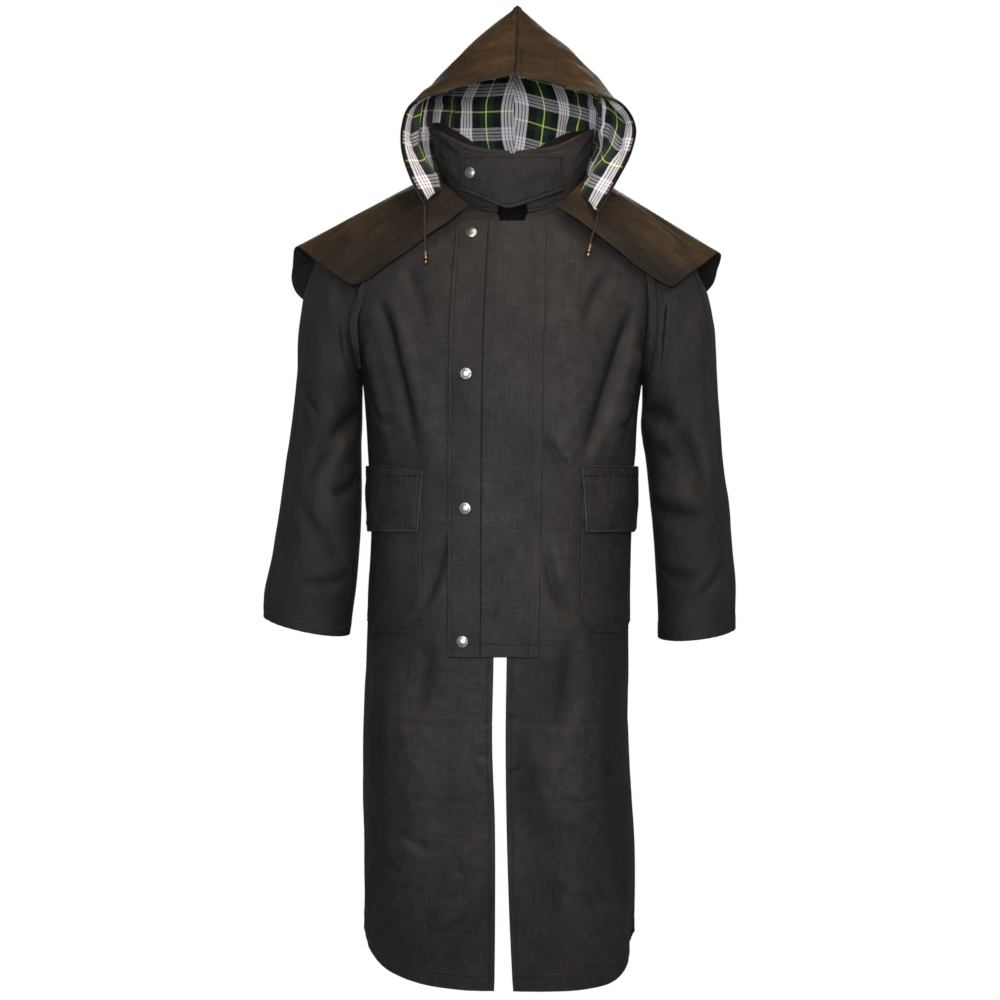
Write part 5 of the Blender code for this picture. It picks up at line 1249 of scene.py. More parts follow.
tab_wide, tab_high = TAB["right"] - TAB["left"], TAB["top"] - TAB["point"]
cols = spots(tab_wide, 0.0022, [0.0045, tab_wide - 0.0045]) / tab_wide
rows = spots(tab_high, 0.0022, [0.0045, tab_high - 0.0045]) / tab_high
cc, bb = np.meshgrid(cols, rows)
x = TAB["left"] + tab_wide * cc
reach = np.where(x < TAB["point_x"], (TAB["point_x"] - x) / (TAB["point_x"] - TAB["left"]), (x - TAB["point_x"]) / (TAB["right"] - TAB["point_x"]))
low = TAB["point"] + (TAB["side"] - TAB["point"]) * np.sqrt(reach ** 2.3 + 0.0006)
z = low + (TAB["top"] - low) * bb
tab_p = np.stack([x, collar_depth(x, z) - TAB_LIE, z], -1)
front_way = np.zeros_like(tab_p)
front_way[..., 1] = -1
tab_sheet = Sheet(tab_p, front_way, rows, cols, x, z)
tab_sheet.push(0.0006 * noise(x / 0.03, z / 0.025, 141) + 0.0004 * noise(x / 0.012, z / 0.012, 142)
               + 0.0012 * hump(x - 0.05, 0.03) * hump(z - 0.0, 0.012))
tab_sheet.settle()
to = tab_sheet.to
for edge in ("start", "end", "low", "high"):
    tab_sheet.groove(to[edge], 0.0045)
    tab_sheet.worn(to[edge])
tab_sheet.settle()
tab_piece = shell("throat_tab_cloth", "throat_tab", [tab_sheet], DOUBLE, DARK, bulge=0.5)
a0, a1, b0, b1 = 0.0045 / tab_wide, 1 - 0.0045 / tab_wide, 0.0045 / tab_high * 1.3, 1 - 0.0045 / tab_high
sewn = stitching("stitching_throat_tab", [
    tab_sheet.line(run(b0, b1, 90), np.full(90, a0), DOUBLE, STITCH), tab_sheet.line(run(b0, b1, 90), np.full(90, a1), DOUBLE, STITCH),
    tab_sheet.line(np.full(160, b0), run(a0, a1, 160), DOUBLE, STITCH), tab_sheet.line(np.full(160, b1), run(a0, a1, 160), DOUBLE, STITCH)],
    THREAD)

# ------------------------------------------------------------------ placket
PLACKET = Table("z left_x right_x", [
    (-0.6770, -0.0790, 0.0500), (-0.5000, -0.0790, 0.0530), (-0.3600, -0.0790, 0.0555),
    (-0.2600, -0.0780, 0.0570), (-0.1700, -0.0750, 0.0590), (-0.0420, -0.0672, 0.0620)])
PLACKET_WIDE, PLACKET_LONG = 0.132, 0.635
FLY, TOP_LINES = 0.0465, (0.1130, 0.1190)    # stitch lines across the placket, from its right edge


class FrontDepth:
    """Depth of the two smooth fronts at any x and z."""

    def __init__(self):
        self.grids = {side: SURF[side, True].grid for side in (RIGHT, LEFT)}

    def on(self, side, x, z):
        grid = self.grids[side]
        zs, ys = [], []
        for row in grid:
            xs = row[:, 0] * side
            q = np.clip(x * side, xs[0], xs[-1])
            zs.append(np.interp(q, xs, row[:, 2]))
            ys.append(np.interp(q, xs, row[:, 1]))
        zs, ys = np.array(zs), np.array(ys)
        return np.array([np.interp(z[k], zs[:, k], ys[:, k]) for k in range(len(x))])

    def y(self, x, z):
        x, z = np.broadcast_arrays(np.asarray(x, float), np.asarray(z, float))
        shape = x.shape
        x, z = x.ravel(), z.ravel()
        right, left = self.on(RIGHT, x, z), self.on(LEFT, x, z)
        share = ease((x + 0.012) / 0.026)
        return (right * (1 - share) + left * share).reshape(shape)


depth = FrontDepth()
pz = PLACKET.data["z"][0] + spots(PLACKET_LONG, 0.0040, [0.0165])
pa = spots(PLACKET_WIDE, 0.0030, [0.0040, FLY, *TOP_LINES]) / PLACKET_WIDE
aa, zz = np.meshgrid(pa, pz)
x = PLACKET.at(zz, "left_x") + (PLACKET.at(zz, "right_x") - PLACKET.at(zz, "left_x")) * aa
placket_p = np.stack([x, depth.y(x, zz) - PLACKET_LIE, zz], -1)
front_way = np.zeros_like(placket_p)
front_way[..., 1] = -1
placket_sheet = Sheet(placket_p, front_way, pz, pa, x, zz)
PLACKET_FOLDS = Table(FOLD_COLUMNS, [
    (0, 0.086, -0.400, 0.090, -0.425, 0.093, -0.455, 0.0050, -0.0008, 0.4),
    (1, 0.100, -0.160, 0.104, -0.195, 0.102, -0.240, 0.0060, -0.0012, 0.4),
    (2, 0.060, -0.480, 0.075, -0.520, 0.098, -0.540, 0.0080, -0.0008, 0.4),
    (3, 0.012, -0.560, 0.024, -0.600, 0.038, -0.615, 0.0080, -0.0009, 0.4),
    (4, 0.002, -0.655, 0.012, -0.6535, 0.022, -0.6560, 0.0035, -0.0010, 0.4),
    (5, 0.060, -0.085, 0.085, -0.095, 0.112, -0.085, 0.0080, -0.0010, 0.4),
    (6, 0.030, -0.300, 0.040, -0.340, 0.036, -0.390, 0.0100, 0.0008, 0.0)])
pm = aa * PLACKET_WIDE
lift = folds(pm, zz, PLACKET_FOLDS) + 0.0007 * noise(pm / 0.05, zz / 0.16, 151) + 0.00035 * noise(pm / 0.018, zz / 0.03, 152)
lift += 0.0007 * hump(pm - 0.023, 0.018)
placket_sheet.push(lift)
# the free right edge waves slightly
placket_sheet.push(0.0012 * noise(zz / 0.11, 0.4, 153) * ease(1 - pm / 0.03))
placket_sheet.settle()
to = placket_sheet.to
placket_sheet.groove(pm, FLY, 0.0012, 0.0010)
placket_sheet.push(-0.0005 * ease((pm - FLY) / 0.0015))
# shallow stitch lines across the placket, with painted shade along them
for t in TOP_LINES:
    placket_sheet.push(-0.0002 * hump(pm - t, 0.0010))
    placket_sheet.tone -= 0.30 * hump(pm - t, 0.0010)
placket_sheet.groove(pm, 0.0040, 0.0004, 0.0010)
placket_sheet.groove(to["low"], 0.0165, 0.0005, 0.0010)
for edge in ("start", "end", "low", "high"):
    placket_sheet.worn(to[edge], 0.0018, 0.7)
placket_sheet.settle()
placket_piece = shell("placket_cloth", "placket", [placket_sheet], DOUBLE, DARK, bulge=0.45)
z0, z1 = PLACKET.data["z"][0] + 0.003, PLACKET.data["z"][-1] - 0.003
lines = [placket_sheet.line(run(z0, z1, 400), np.full(400, at / PLACKET_WIDE), DOUBLE, STITCH) for at in (0.0040, FLY + 0.0022, *TOP_LINES)]
lines.append(placket_sheet.line(np.full(120, PLACKET.data["z"][0] + 0.0165), run(0.02, 0.98, 120), DOUBLE, STITCH))
sewn = stitching("stitching_placket", lines, THREAD)

# ------------------------------------------------------------------ pockets and flaps
POCKET = dict(s0=0.1080, s1=0.2450, top=-0.4080, bottom=-0.6430, cut_s=0.0260, cut_z=0.0210)
FLAP = dict(s0=0.1040, s1=0.2520, top=-0.4000, bottom=-0.4960, skew=0.0060)


def on_front(side, s, z, out):
    """Points at (s, z) on a front with its folds, moved out."""
    surf = SURF[side, True]
    v = surf.panel.v_at(z)
    p, n = surf.at(s / surf.length(v), v)
    return p + n * (front_lift(side, s, z) * 0.85 + out)[..., None]


for side in (RIGHT, LEFT):
    w = WORD[side]
    k = POCKET
    wide, high = k["s1"] - k["s0"], k["top"] - k["bottom"]
    cols = spots(wide, 0.0030, [0.0036, wide - 0.0036]) / wide
    rows = spots(high, 0.0034, [0.0036]) / high
    a, b = np.meshgrid(cols, rows)
    s = k["s0"] + wide * a
    cut = np.maximum(0.0, 1 - (s - k["s0"]) / k["cut_s"]) * k["cut_z"]
    rise = np.maximum(0.0, (s - k["s1"] + 0.05) / 0.05) * 0.014
    low = k["bottom"] + cut + rise
    z = low + (k["top"] - low) * b
    edge = np.minimum(np.minimum(a, 1 - a) * wide, b * high)
    puff = 0.0030 * ease(edge / 0.045) + 0.0010 * noise(s / 0.04, z / 0.06, 161 + side) * ease(edge / 0.02)
    sag = -0.0016 * hump(b - 0.20, 0.10) * ease(edge / 0.02) + 0.0012 * hump(b - 0.10, 0.06) * ease(edge / 0.015)
    p = on_front(side, s, z, CLOTH + POCKET_LIE + puff + sag)
    sheet = Sheet(p, from_axis(p), rows, cols, s * side, z)
    for e in ("start", "end", "low"):
        sheet.groove(sheet.to[e], 0.0036, 0.0005, 0.0011)
        sheet.worn(sheet.to[e], 0.0020, 0.6)
    sheet.settle()
    piece = shell(f"pocket_{w}_cloth", f"pocket_{w}", [sheet], CLOTH, DARK, bulge=0.4)
    e = 0.0036
    lines = [sheet.line(run(e / high, 0.97, 150), np.full(150, e / wide), CLOTH, STITCH),
             sheet.line(run(e / high, 0.97, 150), np.full(150, 1 - e / wide), CLOTH, STITCH),
             sheet.line(np.full(120, e / high), run(e / wide, 1 - e / wide, 120), CLOTH, STITCH)]
    sewn = stitching(f"stitching_pocket_{w}", lines, THREAD)

    k = FLAP
    wide, high = k["s1"] - k["s0"], k["top"] - k["bottom"]
    BAND = 0.0160
    cols = spots(wide, 0.0024, [0.0042, wide - 0.0042]) / wide
    rows = spots(high, 0.0024, [0.0042, high - BAND, high - 0.0030]) / high
    a, b = np.meshgrid(cols, rows)
    s = k["s0"] + wide * a + k["skew"] * (1 - b) * (1 - a)
    drop = np.maximum(0.0, (s - k["s1"] + 0.03) / 0.03) * 0.012
    low = k["bottom"] + drop
    z = low + (k["top"] - low) * b
    stand = 0.0035 * (1 - b) + 0.0022 * ease((0.85 - b) / 0.5)
    edge = np.minimum(a, 1 - a) * wide
    lift = stand + 0.0012 * noise(s / 0.035, z / 0.04, 171 + side) * ease((1 - b) / 0.2) + 0.0005 * noise(s / 0.014, z / 0.014, 173 + side)
    # little puckers under the stitched band
    lift += 0.0007 * np.sin(s * 2 * math.pi / (0.0085 if side == RIGHT else 0.0120) + 2.5 * noise(s / 0.02, 0.7, 175)) * hump((1 - b) * high - BAND, 0.0050) * (0.6 + 0.4 * noise(s / 0.03, 1.7, 176))
    p = on_front(side, s, z, 2 * CLOTH + POCKET_LIE + FLAP_LIE + lift)
    sheet = Sheet(p, from_axis(p), rows, cols, s * side, z)
    for e in ("start", "end", "low"):
        sheet.groove(sheet.to[e], 0.0042, 0.0005, 0.0011)
        sheet.worn(sheet.to[e], 0.0022, 0.9)
    sheet.groove(sheet.to["high"], BAND, 0.0008, 0.0012)
    sheet.groove(sheet.to["high"], 0.0030, 0.0005, 0.0011)
    sheet.settle()
    piece = shell(f"flap_{w}_cloth", f"flap_{w}", [sheet], DOUBLE, DARK, bulge=0.45)
    e = 0.0042
    lines = [sheet.line(run(e / high, 0.97, 100), np.full(100, e / wide), DOUBLE, STITCH),
             sheet.line(run(e / high, 0.97, 100), np.full(100, 1 - e / wide), DOUBLE, STITCH),
             sheet.line(np.full(120, e / high), run(e / wide, 1 - e / wide, 120), DOUBLE, STITCH),
             sheet.line(np.full(120, 1 - BAND / high), run(0.01, 0.99, 120), DOUBLE, STITCH),
             sheet.line(np.full(120, 1 - 0.0030 / high), run(0.01, 0.99, 120), DOUBLE, STITCH)]
    sewn = stitching(f"stitching_flap_{w}", lines, THREAD)

# ------------------------------------------------------------------ shoulder cape
CAPE = Table("q neck_x neck_y neck_z mid_x mid_y mid_z hem_x hem_y hem_z left_dx left_dz", [
    (0.00, -0.0640, -0.0935, -0.0180, -0.1400, -0.1010, -0.0800, -0.2160, -0.0930, -0.1410, 0.0270, -0.0010),
    (0.14, -0.0850, -0.0770, 0.0020, -0.1640, -0.0840, -0.0480, -0.2440, -0.0830, -0.1200, 0.0220, -0.0030),
    (0.28, -0.1045, -0.0470, 0.0230, -0.1880, -0.0490, -0.0190, -0.2760, -0.0530, -0.0960, 0.0180, -0.0060),
    (0.42, -0.1135, -0.0030, 0.0380, -0.2040, 0.0020, -0.0120, -0.3090, 0.0060, -0.0720, 0.0150, -0.0090),
    (0.55, -0.1050, 0.0430, 0.0450, -0.2000, 0.0640, -0.0130, -0.3170, 0.0520, -0.0950, 0.0080, -0.0030),
    (0.68, -0.0800, 0.0720, 0.0470, -0.1780, 0.1180, -0.0230, -0.3080, 0.0980, -0.1400, -0.0020, 0.0060),
    (0.84, -0.0430, 0.0890, 0.0450, -0.1100, 0.1540, -0.0480, -0.1900, 0.1690, -0.2050, 0.0000, 0.0000),
    (1.00, 0.0000, 0.0945, 0.0440, 0.0000, 0.1620, -0.0560, 0.0000, 0.1760, -0.2250, 0.0000, 0.0000)])
CAPE_SEAM_Q = 0.42
CAPE_BAND = 0.0105


def cape_points(side, qs, vs):
    v = np.asarray(vs, float)[:, None, None]
    pts = {}
    for part, share in (("neck", 0.0), ("mid", 0.5), ("hem", 1.0)):
        p = np.stack([CAPE.at(qs, f"{part}_{axis}") for axis in "xyz"], -1)
        if side == LEFT:
            p[:, 0] = -p[:, 0] + share * CAPE.at(qs, "left_dx")
            p[:, 2] += share * CAPE.at(qs, "left_dz")
        p[:, 0] += NECK_X * (1 - share)
        pts[part] = p[None]
    return (1 - v) * (1 - 2 * v) * pts["neck"] + 4 * v * (1 - v) * pts["mid"] + v * (2 * v - 1) * pts["hem"]


def upward(grid):
    up = grid.copy()
    up[..., 2] = 0.25
    return up


def cape_lift(side, q, v):
    seed = 191 + 2 * side
    s, h = q * CAPE_Q, v * CAPE_V
    lift = 1.6 * folds(s, h, CAPE_FOLDS[side], (CAPE_Q, CAPE_V))
    lift = lift + 0.0016 * noise(s / 0.06, h / 0.07, seed) + 0.0006 * noise(s / 0.022, h / 0.03, seed + 1)
    return np.maximum(lift, -0.0035) * ease(v / 0.35)


cape_rows = 1 - spots(CAPE_V, 0.0036, [CAPE_BAND - 0.0022])[::-1] / CAPE_V
cape_rows = cape_rows if cape_rows[0] < cape_rows[-1] else cape_rows[::-1]
for side in (RIGHT, LEFT):
    w = WORD[side]
    long_q = CAPE_SEAM_Q * CAPE_Q
    qs = spots(long_q, 0.0038, [CAPE_BAND - 0.0022, long_q - 0.008]) / CAPE_Q
    p = cape_points(side, qs, cape_rows)
    qq, vv = np.meshgrid(qs, cape_rows)
    # the lower front corner is turned round
    inner = cape_points(side, np.array([0.026 / CAPE_Q]), np.array([1 - 0.026 / CAPE_V]))
    corner = (np.clip(1 - qq * CAPE_Q / 0.026, 0, 1) * np.clip(1 - (1 - vv) * CAPE_V / 0.026, 0, 1)) ** 1.5
    p = p + 0.34 * corner[..., None] * (inner - p)
    sheet = Sheet(p, upward(p), cape_rows, qs, qq * CAPE_Q * side, -vv * CAPE_V)
    to = sheet.to
    wave = 0.0032 * (0.6 + noise(qq * CAPE_Q / 0.036, 0.4, 197 + side)) * (1 - ease(to["high"] / 0.05))
    wave = wave + 0.0026 * (0.6 + noise(vv * CAPE_V / 0.034, 0.7, 199 + side)) * (1 - ease(to["start"] / 0.05)) * ease(to["low"] / 0.04)
    sheet.push((cape_lift(side, qq, vv) + wave) * ease(to["end"] / 0.02))
    # painted shade: the cape is painted darker towards its front edge, more on the right
    sheet.tone -= (0.85 if side == RIGHT else 0.55) * (1 - ease(to["start"] / 0.085))
    sheet.settle()
    sheet.band(to["high"], CAPE_BAND)
    sheet.band(to["start"], CAPE_BAND)
    sheet.worn(to["high"])
    sheet.worn(to["start"])
    sheet.seam(to["end"])
    sheet.settle()
    piece = shell(f"cape_front_{w}_cloth", f"cape_front_{w}", [sheet], CAPE_WALL, BROWN, inner_mat=DARK, free=("start", "low", "high"))
    hem = (CAPE_BAND - 0.0022) / CAPE_V
    front_q = float(np.interp(CAPE_BAND - 0.0022, to["start"][len(cape_rows) // 2], qs))
    hem_v = float(np.interp(-(CAPE_BAND - 0.0022), -to["high"][:, len(qs) // 2], cape_rows))
    lines = [sheet.line(np.full(200, hem_v), run(0.004, CAPE_SEAM_Q - 0.004, 200), CAPE_WALL, STITCH),
             sheet.line(run(0.02, 0.98, 200), np.full(200, front_q), CAPE_WALL, STITCH)]
    sewn = stitching(f"stitching_cape_front_{w}", lines, THREAD_BROWN)

back_q = (1 - CAPE_SEAM_Q) * CAPE_Q
qs = CAPE_SEAM_Q + spots(back_q, 0.0042, [0.008], ends=False) / CAPE_Q
pr, pl = cape_points(RIGHT, qs, cape_rows), cape_points(LEFT, qs, cape_rows)
middle = (pr[:, -1] + pl[:, -1]) / 2
ease_in = ease((qs - 0.90) / 0.10)[None, :, None]
pr, pl = pr + ease_in * (middle - pr[:, -1])[:, None], pl + ease_in * (middle - pl[:, -1])[:, None]
p = np.concatenate([pr, pl[:, ::-1][:, 1:]], 1)
both_q = np.concatenate([qs, qs[::-1][1:]])
qq, vv = np.meshgrid(both_q, cape_rows)
is_right = (np.arange(p.shape[1]) < len(qs))[None, :]
lift = np.where(is_right, cape_lift(RIGHT, qq, vv), cape_lift(LEFT, qq, vv))
middle_lift = 0.5 * (cape_lift(RIGHT, qq, vv) + cape_lift(LEFT, qq, vv))
lift = lift + (middle_lift - lift) * ease((qq - 0.93) / 0.07)
run_s = np.concatenate([qs, 2 - qs[::-1][1:]]) * CAPE_Q
ss, _ = np.meshgrid(run_s, cape_rows)
sheet = Sheet(p, upward(p), cape_rows, run_s, ss, -vv * CAPE_V)
to = sheet.to
sheet.push(lift * ease(np.minimum(to["start"], to["end"]) / 0.02))
sheet.push(0.0040 * noise(ss / 0.09, 0.6, 207) * ease((vv - 0.6) / 0.4) * ease(np.minimum(to["start"], to["end"]) / 0.10))
sheet.settle()
sheet.band(to["high"], CAPE_BAND)
sheet.worn(to["high"])
sheet.seam(to["start"])
sheet.seam(to["end"])
sheet.band(to["start"], 0.0100, 0.0005)
sheet.band(to["end"], 0.0100, 0.0005)
sheet.settle()
cape_back_piece = shell("cape_back_cloth", "cape_back", [sheet], CAPE_WALL, BROWN, inner_mat=DARK, free=("low", "high"))
hem_v = float(np.interp(-(CAPE_BAND - 0.0022), -to["high"][:, len(run_s) // 2], cape_rows))
lines = [sheet.line(np.full(400, hem_v), run(run_s[0] + 0.002, run_s[-1] - 0.002, 400), CAPE_WALL, STITCH)]
for d in (0.0026, 0.0078):
    lines += [sheet.line(run(0.02, 0.98, 160), np.full(160, run_s[0] + d), CAPE_WALL, STITCH),
              sheet.line(run(0.02, 0.98, 160), np.full(160, run_s[-1] - d), CAPE_WALL, STITCH)]
sewn = stitching("stitching_cape_back", lines, THREAD_BROWN)

STRAP = Table("n right_x right_y right_z left_x left_y left_z half", [
    (0, -0.2000, -0.0880, -0.1240, 0.2160, -0.0870, -0.1100, 0.0062),
    (1, -0.2110, -0.0905, -0.1560, 0.2190, -0.0905, -0.1500, 0.0062),
    (2, -0.2195, -0.0925, -0.1900, 0.2200, -0.0925, -0.1900, 0.0060),
    (3, -0.2165, -0.0900, -0.2250, 0.2190, -0.0900, -0.2260, 0.0054),
    (4, -0.2120, -0.0800, -0.2560, 0.2160, -0.0800, -0.2600, 0.0046)])
for side in (RIGHT, LEFT):
    w = WORD[side]
    ks = np.linspace(0, 4, 60)
    mid = np.stack([STRAP.at(ks, f"{w}_{axis}") for axis in "xyz"], -1)
    half_w = (0.80 * STRAP.at(ks, "half") * (1 - 0.40 * ease((ks - 2.4) / 1.6)))[:, None]
    across = np.linspace(-1, 1, 13)[None, :]
    p = np.repeat(mid[:, None], 13, 1)
    p[..., 0] += half_w * across
    p[..., 1] += (0.0130 * ease((ks - 2.9) / 1.1))[:, None]
    p[..., 1] += -0.0006 * (1 - across ** 2) + 0.0006 * np.sin(ks * 3.1)[:, None] * across
    towards = np.zeros_like(p)
    towards[..., 1] = -1
    sheet = Sheet(p, towards, ks, across[0], 0.006 * across * np.ones_like(half_w), mid[:, 2:3] * np.ones((1, 13)))
    sheet.push(0.0003 * noise(ks[:, None] * 4.0, across * 1.5, 211 + side))
    # painted shade: the strap is painted darker all over, as it lies in the armpit's shade
    sheet.tone -= 0.65
    for e in ("start", "end"):
        sheet.groove(sheet.to[e], 0.0022, 0.0003, 0.0007)
        sheet.worn(sheet.to[e], 0.0016, 0.9)
    sheet.settle()
    piece = shell(f"cape_strap_{w}_cloth", f"cape_strap_{w}", [sheet], STRAP_WALL, DARK)
    sewn = stitching(f"stitching_strap_{w}", [sheet.line(ks, np.full(60, e), STRAP_WALL, STITCH) for e in (-0.64, 0.64)], THREAD,
                     pitch=0.0030, length=0.0022, radius=0.0003)

# ------------------------------------------------------------------ hood
HOOD = Table("t right_x left_x front_y front_z left_dz back_y back_z wide left_wide turn_y late lean", [
    (0.00, -0.1160, 0.1390, -0.1060, -0.0160, -0.0150, 0.0900, 0.0340, 0.1200, 0.1080, -0.004, 4.4, 0.000),
    (0.05, -0.1235, 0.1485, -0.1077, -0.0035, -0.0115, 0.0985, 0.0545, 0.1235, 0.1170, -0.008, 3.7, 0.000),
    (0.13, -0.1350, 0.1640, -0.1100, 0.0190, -0.0060, 0.1170, 0.0850, 0.1315, 0.1315, -0.014, 2.6, 0.000),
    (0.27, -0.1470, 0.1870, -0.1080, 0.0600, 0.0000, 0.1270, 0.1250, 0.1370, 0.1380, -0.020, 1.7, 0.000),
    (0.42, -0.1470, 0.1930, -0.1020, 0.0980, 0.0000, 0.1320, 0.1680, 0.1370, 0.1410, -0.018, 1.25, 0.000),
    (0.57, -0.1340, 0.1730, -0.0960, 0.1290, 0.0010, 0.1290, 0.2080, 0.1240, 0.1310, -0.010, 1.1, 0.000),
    (0.72, -0.0940, 0.1260, -0.0890, 0.1470, 0.0010, 0.1190, 0.2440, 0.1000, 0.1090, 0.000, 1.05, 0.000),
    (0.87, -0.0390, 0.0680, -0.0820, 0.1640, 0.0005, 0.1030, 0.2800, 0.0730, 0.0830, 0.004, 1.0, 0.0020),
    (0.94, -0.0120, 0.0420, -0.0800, 0.1700, 0.0000, 0.0930, 0.2955, 0.0530, 0.0600, 0.004, 1.0, 0.0040),
    (0.98, 0.0060, 0.0260, -0.0785, 0.1740, 0.0000, 0.0860, 0.3030, 0.0320, 0.0360, 0.003, 1.0, 0.0050),
    (1.00, 0.0160, 0.0160, -0.0780, 0.1760, 0.0000, 0.0820, 0.3050, 0.0000, 0.0000, 0.002, 1.0, 0.0055)])
HOOD_X = 0.0170
HOOD_TUCK = 0.0180       # how far the tails turn in towards the collar
HOOD_SAG = {RIGHT: 0.16, LEFT: 0.09}     # how far the lower edge sags beside the collar
HOOD_TURN = 0.5
BRIM_BAND = 0.0150
CLIMB = {RIGHT: 0.10, LEFT: 0.30}
EASED = {RIGHT: 0.0125, LEFT: 0.0150}


# loose ridges of the lining: distance from the brim, height, half width, half length, height
LINING_RIDGES = {
    RIGHT: [(0.050, 0.105, 0.008, 0.045, 0.0060), (0.118, 0.120, 0.012, 0.050, 0.0050), (0.190, 0.135, 0.010, 0.035, 0.0050)],
    LEFT: [(0.088, 0.125, 0.008, 0.050, 0.0090), (0.122, 0.120, 0.009, 0.040, 0.0080), (0.165, 0.150, 0.012, 0.030, 0.0040),
           (0.222, 0.112, 0.012, 0.020, 0.0140)]}


def hood_points(side, ts, ss, shy):
    ts, s = np.asarray(ts, float)[:, None], np.asarray(ss, float)[None, :]
    col = lambda k: HOOD.at(ts, k)
    front_x = col("right_x" if side == RIGHT else "left_x")
    front_z = col("front_z") + (col("left_dz") if side == LEFT else 0)
    reach = np.abs(front_x - HOOD_X)
    wide = np.maximum(col("wide" if side == RIGHT else "left_wide"), 0)
    a = np.clip(s / HOOD_TURN, 0, 1) * math.pi / 2
    f = np.clip((s - HOOD_TURN) / (1 - HOOD_TURN), 0, 1)
    x = wide * np.sin(a) ** 0.92 + (reach - wide) * f ** 1.1
    x = x - HOOD_TUCK * (1 - ease(ts / 0.25)) * np.exp(-((s - 0.82) / 0.12) ** 2)
    bent = np.where(s < HOOD_TURN, col("back_y") + (col("turn_y") - col("back_y")) * (1 - np.cos(a)),
                    col("turn_y") + (col("front_y") - col("turn_y")) * f)
    straight = col("back_y") + (col("front_y") - col("back_y")) * s
    y = straight + (bent - straight) * ease(wide / 0.115)
    sag = HOOD_SAG[side] * (1 - ease(ts / 0.13)) * np.exp(-((s - 0.73) / 0.13) ** 2)
    z = col("back_z") + (front_z - col("back_z")) * (s ** col("late") + sag)
    return np.stack(np.broadcast_arrays(HOOD_X + col("lean") * (1 - s) + side * np.maximum(x, shy), y, z), -1)


def hood_lift(side, s, t):
    seed = 221 + 2 * side
    a, b = s * HOOD_S, t * HOOD_T
    lift = folds(a, b, HOOD_FOLDS[side], (HOOD_S, HOOD_T))
    return lift + 0.0015 * noise(a / 0.07, b / 0.07, seed) + 0.0005 * noise(a / 0.026, b / 0.026, seed + 1)


def meet(sheet, side, edges, plane):
    """Bring a hood half back to its seam line and turn its normals along the seam's plane."""
    for edge in edges:
        near = 1 - ease(sheet.to[edge] / 0.0050)
        seam = plane[-1:, :] if edge == "high" else plane[:, :1]
        gap = (sheet.p[-1:, :, 0] if edge == "high" else sheet.p[:, :1, 0]) - seam
        sheet.p[..., 0] -= (gap + side * 0.00025) * near
        flat = sheet.n.copy()
        flat[..., 0] = 0
        sheet.n = sheet.n + (flat - sheet.n) * near[..., None]
        sheet.n /= np.linalg.norm(sheet.n, axis=-1, keepdims=True)


